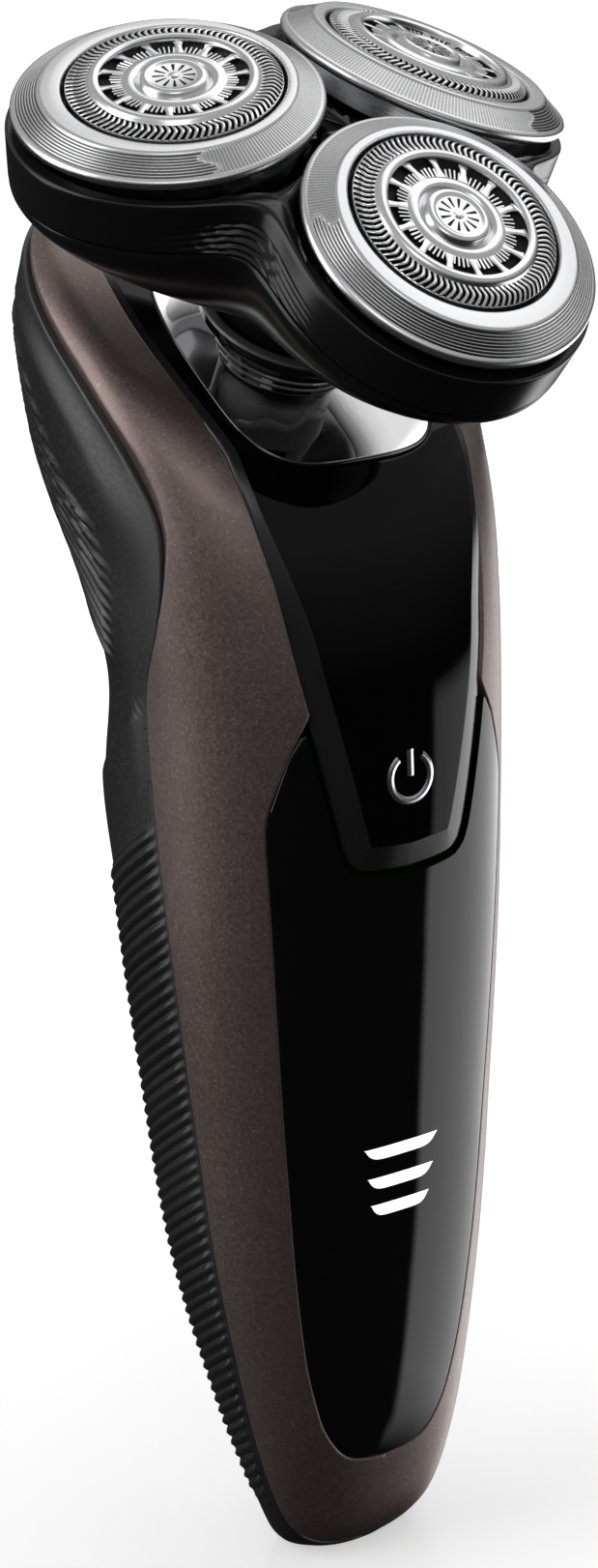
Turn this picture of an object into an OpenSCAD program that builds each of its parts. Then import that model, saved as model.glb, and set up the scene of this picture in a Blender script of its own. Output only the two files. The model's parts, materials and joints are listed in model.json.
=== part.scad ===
// Three-head rotary electric shaver: a curved handle that stands on its base,
// and a shaving unit with three flexing heads on a tilted neck.
// Millimetres, +Z up, front towards -Y. Origin: on the base plane, below the shaver's middle.

/* [Handle] */
// Height of the shaving unit's centre above the base
head_z = 159; // [158:0.25:160]
// Place of the shaving unit's centre, front to back
head_y = -6.2; // [-6.6:0.1:-5.8]
// Half of the handle's width at its grip
grip_half_w = 20; // [19.5:0.1:20.5]
// Thickness of the moulded shells
shell_wall = 1.6; // [1.4:0.1:1.8]

/* [Shaving unit] */
// Forward tilt of the shaving unit
head_tilt = 25; // [24:0.25:26]
// Distance from the unit's centre to each head's centre
head_reach = 18.4; // [18.3:0.05:18.6]
// Outward tilt of each head
pod_tilt = 15.5; // [15:0.25:16]
// Radius of the metal ring round each head
ring_r = 15.8; // [15.5:0.1:15.8]
// Radius of each slotted cap
cap_r = 10.9; // [10.7:0.1:11]
// Blades on each cutter
blade_count = 24; // [12:2:30]

/* [Drive] */
// Radius of the motor can
motor_r = 7.2; // [6.8:0.1:7.3]
// Length of the motor can
motor_len = 15; // [13:0.5:15]
// Radius of the battery cell
battery_r = 8.5; // [8:0.1:8.6]
// Length of the battery cell
battery_len = 48; // [44:1:50]

/* [Hidden] */
$fn = 48;

brown = "#5a4a45";
black = "#161616";
dark_grey = "#333333";
chrome = "#d8d8d8";
steel = "#b8b8b8";
brass = "#c8a860";
board_green = "#285a3c";
white_lens = "#f4f4f4";

ring_bore_r = cap_r + 0.4;
// The ring is set a little outward of its head's centre.
ring_shift = 0.7;

// The three heads' directions about the neck axis: front, left and right.
front_pod = -90;
right_pod = 30;
left_pod = 150;
pod_angles = [front_pod, left_pod, right_pod];

// ---------- handle outline ----------

// Stations up the handle: [height, half width, widest place, front, back].
stations = [
    [0, 6.4, -4.4, -8.7, -0.2],
    [1.5, 8.7, -5.9, -10.2, 0.3],
    [4, 10.4, -7, -11.5, 0.8],
    [8.5, 12.1, -7.2, -12.6, 2],
    [17, 14.2, -6.4, -14, 6.8],
    [33, 16.9, -4, -15.1, 12.9],
    [52, 18.4, -2.4, -15.7, 17.1],
    [72, 19.7, -0.7, -16.3, 20.6],
    [87, grip_half_w + 0.1, 0.6, -16.5, 22.6],
    [99, grip_half_w + 0.4, 1, -15.8, 20.6],
    [107, grip_half_w + 0.9, 1.6, -14.6, 24.6],
    [116, grip_half_w + 1.5, 2.6, -12.2, 31.2],
    [124, grip_half_w + 2.1, 5.1, -8.6, 33.9],
    [132, grip_half_w + 2.8, 8.6, -3.9, 34.1],
    [140, grip_half_w + 2.8, 12.6, 1.6, 33.6],
    [154, grip_half_w + 0.6, 17.6, 9.6, 30.6]
];
handle_top = 154;
last_station = len(stations) - 1;
ring_sides = 44;
section_step = 5;
base_round_h = 12;
// Larger than the shaver, for cutting shapes.
room = 250;

function slope(i, k) = let (a = max(i - 1, 0), b = min(i + 1, last_station))
    (stations[b][k] - stations[a][k]) / (stations[b][0] - stations[a][0]);
function station_below(z) = max([for (i = [0:last_station - 1]) if (stations[i][0] <= z) i]);
// Smooth value k of the handle's section at height z.
function size_at(height, k) = let (
        z = min(max(height, 0), handle_top), i = station_below(z), p = stations[i], q = stations[i + 1],
        h = q[0] - p[0], t = (z - p[0]) / h)
    (2 * t ^ 3 - 3 * t ^ 2 + 1) * p[k] + (t ^ 3 - 2 * t ^ 2 + t) * h * slope(i, k)
    + (3 * t ^ 2 - 2 * t ^ 3) * q[k] + (t ^ 3 - t ^ 2) * h * slope(i + 1, k);
// The section's corners: 2 is an ellipse, and higher is squarer.
function squareness(z) = 2.2 + 0.3 * min(1, z / 45);
function soft_power(v, n) = sign(v) * pow(abs(v), 2 / n);
function section_point(z, inset, a) = let (
        n = squareness(z), c = size_at(z, 2), s = soft_power(sin(a), n),
        reach = s < 0 ? c - size_at(z, 3) : size_at(z, 4) - c)
    [(size_at(z, 1) - inset) * soft_power(cos(a), n), c + (reach - inset) * s, z];
section_heights = [
    for (z = [0, 0.7, 1.5, 2.6, 4, 6, 8.5]) z,
    for (z = [base_round_h:section_step:handle_top - 1]) z,
    handle_top
];

// Solid of the handle's outer form, shrunk by inset all round.
module handle_form(inset = 0) {
    heights = [for (z = section_heights) if (z > inset && z < handle_top - inset) z];
    zs = concat([inset], heights, [handle_top - inset]);
    rows = len(zs);
    points = [for (z = zs, i = [0:ring_sides - 1]) section_point(z, inset, 360 * i / ring_sides)];
    sides = [for (r = [0:rows - 2], i = [0:ring_sides - 1]) let (
            j = (i + 1) % ring_sides, a = r * ring_sides, b = a + ring_sides)
        each [[a + i, b + i, a + j], [a + j, b + i, b + j]]];
    bottom = [for (i = [0:ring_sides - 1]) i];
    lid = [for (i = [ring_sides - 1:-1:0]) (rows - 1) * ring_sides + i];
    polyhedron(points, concat([bottom], sides, [lid]));
}

// The sloped top face round the neck recess.
slope_angle = 32.5;
lip_y = -8.4;
lip_z = 124.6;
module on_slope() {
    translate([0, lip_y, lip_z]) rotate([slope_angle, 0, 0]) children();
}
// Everything under the sloped face, or under a plane drop below it.
module below_slope(drop = 0) {
    on_slope() translate([-room / 2, -room, -room - drop]) cube([room, room * 2, room]);
}

// Side view of the seam between the frame and the rear grip: [y, z] from the base up.
seam = [
    [-9.3, 0], [-9.1, 5], [-7.7, 18], [-6.6, 29], [-5, 41], [-3.1, 56], [-1.6, 69], [0.8, 85],
    [1.8, 95], [1.7, 101], [-0.5, 107], [-1.9, 113], [-1.4, 119], [2.8, 125], [8.4, 130.3],
    [14.2, 134.8], [19.6, 139], [25.6, 143.4], [35.6, 150]
];
module ahead_of_seam() {
    rotate([90, 0, 90]) linear_extrude(room, center = true)
        polygon(concat([[-room, -1], [seam[0][0], -1]], seam, [[40, room], [-room, room]]));
}

// ---------- front outlines, seen from the front: [x, z] ----------

plate_half = [
    [14.6, 129.6], [14.1, 124], [13.6, 118], [12.4, 108], [11.4, 102], [9.4, 93], [7.5, 85.3],
    [6.5, 83.6], [5.3, 83], [3, 82.7], [0, 82.5]
];
panel_half = [
    [11.6, 100], [13.1, 96], [14.4, 92], [15.1, 89.3], [15.2, 86.5], [14.9, 80], [14.2, 67],
    [13.4, 55], [12.2, 40], [11.3, 32], [10.3, 25.5], [9, 20.3], [7.9, 17.3], [6.1, 14.6],
    [4, 13.2], [0, 12.6]
];
function mirrored(half) = concat(half, [for (i = [len(half) - 2:-1:0]) [-half[i][0], half[i][1]]]);
module plate_outline() {
    polygon(concat([[14.8, 160]], mirrored(plate_half), [[-14.8, 160]]));
}
module panel_outline() {
    polygon(mirrored(panel_half));
}
// Carries a front outline through the front half of the handle.
front_start_y = 2;
module from_front() {
    rotate([90, 0, 0]) translate([0, 0, -front_start_y]) linear_extrude(40) children();
}

// Recess round the neck, in the sloped face: an egg with its blunt end forward.
recess_half_w = 12.1;
recess_front = 13;
recess_back = 22;
recess_depth = 8.5;
recess_wall = 0.8;
module recess_outline(grow = 0) {
    translate([0, recess_front]) polygon([for (a = [0:7.5:359]) let (
            reach = sin(a) < 0 ? recess_front : recess_back, n = sin(a) < 0 ? 3.4 : 2.6)
        [(recess_half_w + grow) * soft_power(cos(a), n), (reach + grow) * soft_power(sin(a), n)]]);
}
// The black surround of the recess, which carries on up from the front plate.
surround = [
    [14.9, 1], [14.7, 8], [15.2, 16], [15.3, 22], [14.8, 28], [13.4, 34], [9, 38.6], [0, 40.5]
];
module surround_outline() {
    polygon(mirrored(concat([[0, -6], [11, -6]], surround)));
}

neck_r = 7.5;
neck_foot = -37.6;
module on_head() {
    translate([0, head_y, head_z]) rotate([head_tilt, 0, 0]) children();
}
module tube(r_out, r_in, z0, z1) {
    translate([0, 0, z0]) difference() {
        cylinder(r = r_out, h = z1 - z0);
        translate([0, 0, -1]) cylinder(r = r_in, h = z1 - z0 + 2);
    }
}
module rod(r, z0, z1) {
    translate([0, 0, z0]) cylinder(r = r, h = z1 - z0);
}

socket_w = 9.4;
socket_d = 5.6;
socket_y = -4.4;
module socket_hole() {
    translate([-socket_w / 2, socket_y - socket_d / 2, -1]) cube([socket_w, socket_d, 6]);
}

module skin(depth) {
    difference() {
        handle_form();
        handle_form(depth);
    }
}
plate_gap = 0.35;

module frame_shell() {
    color(brown) resize([0, 0, 0]) difference() {
        intersection() {
            union() {
                skin(shell_wall);
                difference() {
                    handle_form();
                    below_slope(shell_wall);
                }
            }
            below_slope();
            ahead_of_seam();
        }
        from_front() offset(plate_gap) plate_outline();
        from_front() offset(plate_gap) panel_outline();
        on_slope() translate([0, 0, -8]) linear_extrude(16) offset(plate_gap) surround_outline();
        socket_hole();
    }
}

module back_grip() {
    color(black) resize([0, 0, 0]) difference() {
        intersection() {
            skin(shell_wall);
            below_slope();
        }
        ahead_of_seam();
        socket_hole();
    }
}

// The plate stands a little proud of the frame round it.
plate_proud = 0.3;
plate_wall = 1.2;
symbol_z = 92.3;
symbol_r = 2.9;
symbol_line = 0.75;
symbol_floor_y = -16;
module symbol_outline() {
    translate([0, symbol_z]) {
        difference() {
            circle(symbol_r);
            circle(symbol_r - symbol_line);
            translate([-symbol_line, 0]) square([symbol_line * 2, symbol_r * 2]);
        }
        translate([-symbol_line / 2, 0]) square([symbol_line, symbol_r]);
    }
}
module symbol_block() {
    rotate([90, 0, 0]) translate([0, 0, -symbol_floor_y]) linear_extrude(4, convexity = 4) symbol_outline();
}

module front_plate() {
    color(black) resize([0, 0, 0]) difference() {
        intersection() {
            handle_form(-plate_proud);
            below_slope();
            union() {
                difference() {
                    from_front() plate_outline();
                    handle_form(plate_wall - plate_proud);
                }
                on_slope() translate([0, 0, -plate_wall]) linear_extrude(3) surround_outline();
            }
        }
        on_slope() translate([0, 0, -9]) linear_extrude(18) recess_outline(plate_gap);
        symbol_block();
    }
}

module power_symbol() {
    color(white_lens) resize([0, 0, 0]) intersection() {
        handle_form(-plate_proud);
        symbol_block();
    }
}

light_heights = [50.9, 47.4, 44.2];
light_half_widths = [4.9, 4.4, 3.9];
light_thick = 1.5;
light_sag = 0.9;
// A bar with a straight top edge and a bowed lower edge, narrowing to its ends.
module light_outline(i) {
    w = light_half_widths[i];
    translate([0, light_heights[i]]) polygon(concat(
        [[-w, 0], [w, 0]],
        [for (t = [1:-0.25:-1]) [t * (w - 0.7), -light_thick + light_sag * (t ^ 2 - 0.5)]]));
}

module display_panel() {
    color(black) resize([0, 0, 0]) difference() {
        intersection() {
            skin(shell_wall);
            from_front() difference() {
                panel_outline();
                offset(plate_gap * 2) plate_outline();
            }
        }
        from_front() for (i = [0:2]) light_outline(i);
    }
}

module charge_lights() {
    color(white_lens) resize([0, 0, 0]) intersection() {
        skin(shell_wall);
        from_front() for (i = [0:2]) light_outline(i);
    }
}

module neck_recess() {
    color(chrome) resize([0, 0, 0]) difference() {
        on_slope() difference() {
            translate([0, 0, -recess_depth]) linear_extrude(recess_depth - 0.1) recess_outline();
            translate([0, 0, -recess_depth + recess_wall]) linear_extrude(recess_depth)
                recess_outline(-recess_wall);
        }
        on_head() rod(neck_r + 0.02, neck_foot - 20, 0);
    }
}

// ---------- handle internals ----------

rail_x = 11.5;
rail_w = 1.3;
rail_z = 34;
rail_h = 66;
rail_front = -7.4;
rail_d = 10;
battery_y = -0.4;
battery_z = 37;

module inner_chassis() {
    color(dark_grey) {
        for (side = [-1, 1])
            translate([side * (rail_x + rail_w / 2) - rail_w / 2, rail_front, rail_z])
                cube([rail_w, rail_d, rail_h]);
        for (z = [rail_z, battery_z + battery_len + 1.5])
            translate([-rail_x, rail_front, z]) cube([rail_x * 2, rail_d, 1.4]);
    }
}

module battery_cell() {
    color("#3f6ea8") translate([0, battery_y, battery_z]) {
        cylinder(r = battery_r, h = battery_len);
        translate([0, 0, battery_len]) cylinder(r = 2.6, h = 0.8);
    }
}

module battery_contacts() {
    color(brass) {
        translate([-3, battery_y - 3, battery_z - 0.9]) cube([6, 6, 0.9]);
        translate([-3, battery_y - 3, battery_z + battery_len + 0.8]) cube([6, 6, 0.6]);
    }
}

board_y = -11.3;
board_t = 1.2;
module circuit_board() {
    color(board_green) translate([-10, board_y, 36]) cube([20, board_t, 67]);
    for (z = [60, 70, 80])
        color(dark_grey) translate([-8 + (z - 60) / 2, board_y + board_t, z - 20]) cube([5, 1, 5]);
}

module power_switch() {
    color(steel) translate([-3, board_y - 1.6, symbol_z - 3]) cube([6, 1.6, 6]);
    color(black) translate([0, board_y - 1.6, symbol_z]) rotate([90, 0, 0]) cylinder(r = 1.5, h = 0.7);
}

pin_x = 2.2;
pin_r = 0.6;
module charging_socket() {
    color(black) translate([0, socket_y, 0]) difference() {
        translate([-socket_w / 2, -socket_d / 2, 0.3]) cube([socket_w, socket_d, 11]);
        translate([-socket_w / 2 + 0.6, -socket_d / 2 + 0.55, -1])
            cube([socket_w - 1.2, socket_d - 1.1, 9.5]);
        for (side = [-1, 1]) translate([side * pin_x, 0, 0]) cylinder(r = pin_r, h = 20);
    }
}

module socket_pins() {
    color(brass) for (side = [-1, 1])
        translate([side * pin_x, socket_y, 4.6]) cylinder(r = pin_r, h = 8.4);
}

module chassis_screws() {
    color(steel) for (side = [-1, 1], z = [46, 78]) translate([side * (rail_x + rail_w), -2.4, z])
        rotate([0, side * 90, 0]) cylinder(r = 1.6, h = 1.1);
}

module panel_seal() {
    color(dark_grey) resize([0, 0, 0]) intersection() {
        difference() {
            handle_form(shell_wall);
            handle_form(shell_wall + 0.7);
        }
        from_front() difference() {
            offset(-1.2) panel_outline();
            offset(-2.4) panel_outline();
            offset(3) plate_outline();
        }
    }
}

// Hinge of the front plate, hidden under the top of the hood.
plate_hinge_y = 15.6;
plate_hinge_z = 136;
hinge_pin_r = 0.8;
hinge_x = 13.6;
lug_t = 1.6;
lug_d = 2.8;
// From the hinge up to the underside of the plate.
hinge_to_plate = (plate_hinge_y - lip_y) * sin(slope_angle) - (plate_hinge_z - lip_z) * cos(slope_angle)
    - plate_wall;
module plate_hinge_lugs() {
    color(black) for (side = [-1, 1]) translate([side * hinge_x, plate_hinge_y, plate_hinge_z])
        rotate([0, 90, 0]) difference() {
            union() {
                cylinder(r = 1.8, h = lug_t, center = true);
                rotate([0, 0, slope_angle]) translate([-hinge_to_plate, -lug_d / 2, -lug_t / 2])
                    cube([hinge_to_plate, lug_d, lug_t]);
            }
            cylinder(r = hinge_pin_r + 0.05, h = 4, center = true);
        }
}
module plate_hinge_pins() {
    color(steel) for (side = [-1, 1]) translate([side * (hinge_x + 2.4), plate_hinge_y, plate_hinge_z])
        rotate([0, 90, 0]) cylinder(r = hinge_pin_r, h = 7, center = true);
}
module plate_spring() {
    color(steel) translate([-2, board_y - 0.5, 99.5]) cube([4, 0.5, 3]);
}

// ---------- motor and neck, on the neck's axis ----------

collar_r = 10;
collar_bore_r = 8.7;
collar_top = -23.6;
collar_foot = -27.3;
coupling_foot = -26;
motor_top = -40;
can_wall = 0.5;
shaft_r = 1;
motor_foot = motor_top - motor_len;

module neck_collar() {
    color(black) on_head() rotate_extrude() polygon([
        [3.6, neck_foot], [neck_r, neck_foot], [neck_r, -30.3], [8.1, -29.4], [8.4, collar_foot],
        [9.3, collar_foot + 0.5], [collar_r, collar_foot + 1.6], [collar_r, collar_top - 0.4],
        [collar_r - 0.4, collar_top], [collar_bore_r + 0.3, collar_top],
        [collar_bore_r, collar_top - 0.3], [collar_bore_r, coupling_foot - 0.3],
        [collar_bore_r - 1.2, collar_foot - 0.5],
        [5.6, collar_foot - 1.5], [3.6, -30]
    ]);
}

module motor_mount() {
    color(dark_grey) on_head() tube(motor_r + 1, 3.4, neck_foot - 1.6, neck_foot - 0.3);
}

module motor_can() {
    color(steel) on_head() difference() {
        rod(motor_r, motor_foot, motor_top);
        rod(motor_r - can_wall, motor_foot + 1, motor_top - 1);
        rod(shaft_r + 0.05, motor_foot - 1, motor_top + 1);
    }
}

module motor_rotor() {
    color(brass) on_head() {
        rod(shaft_r, motor_foot + 0.2, -31);
        rod(motor_r - 1.7, motor_foot + 2.2, motor_top - 2.2);
    }
}

coupler_r = 3;
coupler_bore_r = 2.1;
module drive_coupler() {
    color(dark_grey) on_head() difference() {
        rod(coupler_r, -31, -23.6);
        rod(coupler_bore_r, -28, -20);
    }
}

// ---------- shaving unit ----------

unit_foot = -21;
coupling_r = 8;
coupling_bore_r = 5.2;
gear_reach = 14.9;
pinion_teeth = 15;
gear_teeth = 33;
tooth_module = 2 * gear_reach / (pinion_teeth + gear_teeth);
gear_z = -14.2;
gear_h = 1.3;
post_r = 1.3;
seam_z = -9.3;
seam_gap = 0.25;
tube_r = 16.2;
tube_shift = 0.9;
tube_bore_r = 14.3;
tube_top = -3.9;
bowl_wall = 1.1;
// Flat web that joins the three tubes of the cover.
web_r = 18.5;
web_foot = -6.8;
web_top = -4.2;

module unit_coupling() {
    color(black) on_head() tube(coupling_r, coupling_bore_r, coupling_foot, unit_foot);
}

module latch_springs() {
    color(steel) on_head() for (a = pod_angles) rotate(a) translate([4.1, 0, 0]) rod(0.7, -25.5, -21.4);
}

module at_pod(a) {
    rotate(a) translate([head_reach, 0, 0]) rotate([0, pod_tilt, 0]) children();
}
module on_pod(a) {
    on_head() at_pod(a) children();
}

// One lobe of the housing's bowl, from the seam under a head down to the neck.
module lobe(a, wall) {
    hull() {
        at_pod(a) translate([tube_shift, 0, 0]) rod(tube_r - wall, seam_z - seam_gap, seam_z + 0.5);
        at_pod(a) translate([tube_shift, 0, 0]) rod(14 - wall, -13, -12.5);
        rod(8.8 - wall, unit_foot + wall, unit_foot + wall + 0.5);
    }
}

module lower_housing() {
    color(black) resize([0, 0, 0]) on_head() difference() {
        for (a = pod_angles) lobe(a, 0, $fn = 40);
        for (a = pod_angles) lobe(a, bowl_wall, $fn = 40);
        rod(7.5, unit_foot + bowl_wall + 0.3, 0);
        rod(web_r + 0.4, web_foot - 0.4, 0);
        rod(coupling_bore_r, unit_foot - 1, -18);
        for (a = pod_angles) at_pod(a) translate([tube_shift, 0, 0])
            rod(tube_r + 1, seam_z - seam_gap, seam_z + 9);
    }
}

plate_z = -16.1;
module gear_plate() {
    color(dark_grey) on_head() difference() {
        union() {
            rod(8.6, plate_z, plate_z + 1);
            for (a = pod_angles) rotate(a) {
                translate([gear_reach, 0, 0]) rod(4.5, plate_z, plate_z + 1);
                translate([0, -3, plate_z]) cube([gear_reach, 6, 1]);
                translate([gear_reach, 0, 0]) rod(post_r, plate_z, gear_z + 1);
            }
        }
        rod(2.3, plate_z - 1, 0);
    }
}

// A spur gear with trapezoidal teeth and room for backlash.
module spur(teeth, phase, bore) {
    pitch_r = teeth * tooth_module / 2;
    root_r = pitch_r - tooth_module * 1.1;
    tip_r = pitch_r + tooth_module * 0.75;
    step = 360 / teeth;
    linear_extrude(gear_h) difference() {
        polygon([for (i = [0:teeth - 1], c = [
                [root_r, -0.3], [tip_r, -0.11], [tip_r, 0.11], [root_r, 0.3]])
            [c[0] * cos(phase + (i + c[1]) * step), c[0] * sin(phase + (i + c[1]) * step)]]);
        circle(bore);
    }
}

module center_pinion() {
    color(white_lens) on_head() {
        translate([0, 0, gear_z]) spur(pinion_teeth, pod_angles[0], 0.5);
        rod(1.8, -27.6, gear_z);
    }
}

spindle_ball_r = 1.4;
spindle_ball_z = -8.4;
module driven_gear(a) {
    color(white_lens) on_head() rotate(a) translate([gear_reach, 0, 0]) {
        translate([0, 0, gear_z]) spur(gear_teeth, 180 + 180 / gear_teeth, post_r + 0.05);
        rod(post_r + 1, gear_z + gear_h, gear_z + gear_h + 0.8);
        rod(0.8, gear_z + gear_h + 0.8, spindle_ball_z);
        translate([0, 0, spindle_ball_z]) sphere(spindle_ball_r);
    }
}
module gear_front() { driven_gear(front_pod); }
module gear_left() { driven_gear(left_pod); }
module gear_right() { driven_gear(right_pod); }

module top_cover() {
    color(black) resize([0, 0, 0]) on_head() difference() {
        union() {
            for (a = pod_angles) at_pod(a) translate([tube_shift, 0, 0]) rod(tube_r, seam_z, tube_top);
            rod(web_r, web_foot, web_top);
        }
        for (a = pod_angles) at_pod(a) rod(tube_bore_r, seam_z - 2, tube_top + 12);
    }
}

pivot_z = -7;
pivot_pin_r = 0.5;
pivot_bore_r = 0.55;
lug_w = 3.2;
skirt_r = 13.6;
skirt_bore_r = 12.7;
module cross_bore(r, len) {
    translate([0, 0, pivot_z]) rotate([0, 90, 0]) cylinder(r = r, h = len);
}

module pivot_bearings() {
    color(dark_grey) for (a = pod_angles) on_pod(a) for (side = [90, -90]) rotate(side) difference() {
        translate([13.1, -lug_w / 2, pivot_z - 1]) cube([1.1, lug_w, 1.9]);
        translate([12, 0, 0]) cross_bore(pivot_bore_r, 3);
    }
}

module pivot_frame(a) {
    color(steel) on_pod(a) {
        tube(12.3, 11, pivot_z - 0.6, pivot_z + 0.6);
        for (side = [0:90:270]) rotate(side) translate([12.2, 0, 0]) cross_bore(pivot_pin_r, 1.8);
    }
}
module pivot_front() { pivot_frame(front_pod); }
module pivot_left() { pivot_frame(left_pod); }
module pivot_right() { pivot_frame(right_pod); }

module shaving_ring(a) {
    color(steel) on_pod(a) {
        difference() {
            union() {
                translate([ring_shift, 0, 0]) rotate_extrude() polygon([
                    [0, 0], [12.4, 0], [13.1, -0.15], [ring_r - 0.35, -1.6], [ring_r, -2],
                    [ring_r, -2.5], [ring_r - 0.3, -2.8], [0, -2.8]
                ]);
                rod(skirt_r, -5.2, -2.2);
            }
            rod(ring_bore_r, -6, 1);
            rod(skirt_bore_r, -6, -1.3);
        }
        for (side = [0, 180]) rotate(side) difference() {
            translate([skirt_bore_r + 0.1, -lug_w / 2, pivot_z - 1]) cube([0.6, lug_w, 2.9]);
            translate([12, 0, 0]) cross_bore(pivot_bore_r, 3);
        }
    }
}
module ring_front() { shaving_ring(front_pod); }
module ring_left() { shaving_ring(left_pod); }
module ring_right() { shaving_ring(right_pod); }

module shaving_cap(a) {
    color(chrome) on_pod(a) rotate_extrude() polygon([
        [0, -0.1], [3, -0.1], [8, -0.15], [cap_r - 0.6, -0.15], [cap_r - 0.6, -2.3], [cap_r, -2.3],
        [cap_r, 0.1], [cap_r - 0.3, 0.4], [8.7, 0.45], [8.3, 0.9], [7.6, 0.9], [7.3, 0.4],
        [5.4, 0.4], [5, 0.8], [3.6, 0.9], [3.3, 0.5], [2.9, 1.1], [0, 1.2]
    ]);
}
module cap_front() { shaving_cap(front_pod); }
module cap_left() { shaving_cap(left_pod); }
module cap_right() { shaving_cap(right_pod); }

module retainer(a) {
    color(dark_grey) on_pod(a) tube(12.6, 9.8, -3.4, -2.35);
}
module retainer_front() { retainer(front_pod); }
module retainer_left() { retainer(left_pod); }
module retainer_right() { retainer(right_pod); }

hub_r = 4.4;
hub_bore_r = 3.7;
disc_foot = -2.8;
module cutter(a) {
    color(steel) on_pod(a) {
        tube(hub_r, hub_bore_r, -9.4, disc_foot + 0.1);
        rod(9.3, disc_foot, disc_foot + 0.7);
        for (i = [0:blade_count - 1]) rotate(i * 360 / blade_count)
            translate([7.2, -0.2, disc_foot + 0.5]) cube([2, 0.4, 1.95]);
    }
}
module cutter_front() { cutter(front_pod); }
module cutter_left() { cutter(left_pod); }
module cutter_right() { cutter(right_pod); }

frame_shell();
back_grip();
inner_chassis();
neck_recess();
neck_collar();
front_plate();
power_symbol();
display_panel();
charge_lights();
plate_hinge_lugs();
plate_hinge_pins();
plate_spring();
motor_can();
motor_rotor();
motor_mount();
battery_cell();
battery_contacts();
circuit_board();
power_switch();
charging_socket();
socket_pins();
chassis_screws();
panel_seal();
unit_coupling();
latch_springs();
drive_coupler();
lower_housing();
gear_plate();
center_pinion();
gear_front();
gear_left();
gear_right();
top_cover();
pivot_bearings();
pivot_front();
pivot_left();
pivot_right();
ring_front();
ring_left();
ring_right();
cap_front();
cap_left();
cap_right();
cutter_front();
cutter_left();
cutter_right();
retainer_front();
retainer_left();
retainer_right();
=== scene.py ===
"""Rotary electric shaver: the visual model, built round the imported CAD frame.

Shapes are worked out in millimetres, in the frame of the CAD, and turned into metres when a mesh
is made. The three heads share one design, which is made in each head's own frame.
"""
import json
import math

import bmesh
import bpy
import numpy as np
from mathutils import Matrix, Vector


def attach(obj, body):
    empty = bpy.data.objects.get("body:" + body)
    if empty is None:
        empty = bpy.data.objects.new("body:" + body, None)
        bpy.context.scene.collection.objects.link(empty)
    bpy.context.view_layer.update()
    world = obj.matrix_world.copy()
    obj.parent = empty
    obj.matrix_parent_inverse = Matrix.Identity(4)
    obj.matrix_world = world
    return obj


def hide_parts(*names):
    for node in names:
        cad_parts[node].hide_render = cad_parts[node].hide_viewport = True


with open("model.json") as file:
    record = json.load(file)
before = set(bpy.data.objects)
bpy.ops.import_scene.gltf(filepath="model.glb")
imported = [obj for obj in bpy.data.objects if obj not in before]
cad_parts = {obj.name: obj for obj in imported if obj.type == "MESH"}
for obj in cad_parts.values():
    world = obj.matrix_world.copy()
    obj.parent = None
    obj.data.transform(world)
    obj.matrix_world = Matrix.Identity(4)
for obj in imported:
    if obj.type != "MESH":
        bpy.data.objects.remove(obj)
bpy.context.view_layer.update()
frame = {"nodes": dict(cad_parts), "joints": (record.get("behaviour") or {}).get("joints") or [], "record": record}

MM = 0.001
JOINTS = {joint["name"]: joint for joint in frame["joints"]}
# Turn of each head about the neck's axis, in degrees.
HEADS = {"front": -90, "left": 150, "right": 30}
UNIT_ABOVE_MOTOR = 40
CAP_ABOVE_CUTTER = 3


# ---------- frames of the neck and the heads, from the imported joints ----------

def axes_matrix(x_axis, y_axis, z_axis, origin):
    matrix = Matrix((x_axis, y_axis, z_axis)).transposed().to_4x4()
    matrix.translation = origin
    return matrix


def neck_frame():
    """Z along the neck, origin at the shaving unit's centre."""
    spin = JOINTS["motor_spin"]
    z_axis = Vector(spin["axis"]).normalized()
    x_axis = Vector((1, 0, 0))
    origin = Vector(spin["pos_m"]) + z_axis * UNIT_ABOVE_MOTOR * MM
    return axes_matrix(x_axis, z_axis.cross(x_axis), z_axis, origin)


def head_frame(name):
    """Z out of the cap and X across the shaver, origin in the middle of the cap.

    The second value is the turn from X to the direction away from the neck.
    """
    spin = JOINTS[f"cutter_{name}_spin"]
    z_axis = Vector(spin["axis"]).normalized()
    x_axis = (Vector((1, 0, 0)) - z_axis * z_axis.x).normalized()
    y_axis = z_axis.cross(x_axis)
    away = Vector(JOINTS[f"head_{name}_rock"]["axis"])
    origin = Vector(spin["pos_m"]) + z_axis * CAP_ABOVE_CUTTER * MM
    return axes_matrix(x_axis, y_axis, z_axis, origin), math.atan2(away.dot(y_axis), away.dot(x_axis))


def in_world(points, place):
    """Points in millimetres in the frame place, as points in the world."""
    turn = np.array(place.to_3x3())
    return np.asarray(points) @ turn.T + np.array(place.translation) / MM


NECK = neck_frame()


# ---------- mesh helpers ----------

def grid_faces(rows, cols, closed=False, first=0):
    """Quads over rows x cols points from index first on; closed joins the last column to the first."""
    wide = cols if closed else cols - 1
    return [
        (first + r * cols + c, first + r * cols + (c + 1) % cols,
         first + (r + 1) * cols + (c + 1) % cols, first + (r + 1) * cols + c)
        for r in range(rows - 1) for c in range(wide)
    ]


def flipped(faces):
    return [tuple(reversed(face)) for face in faces]


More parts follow.
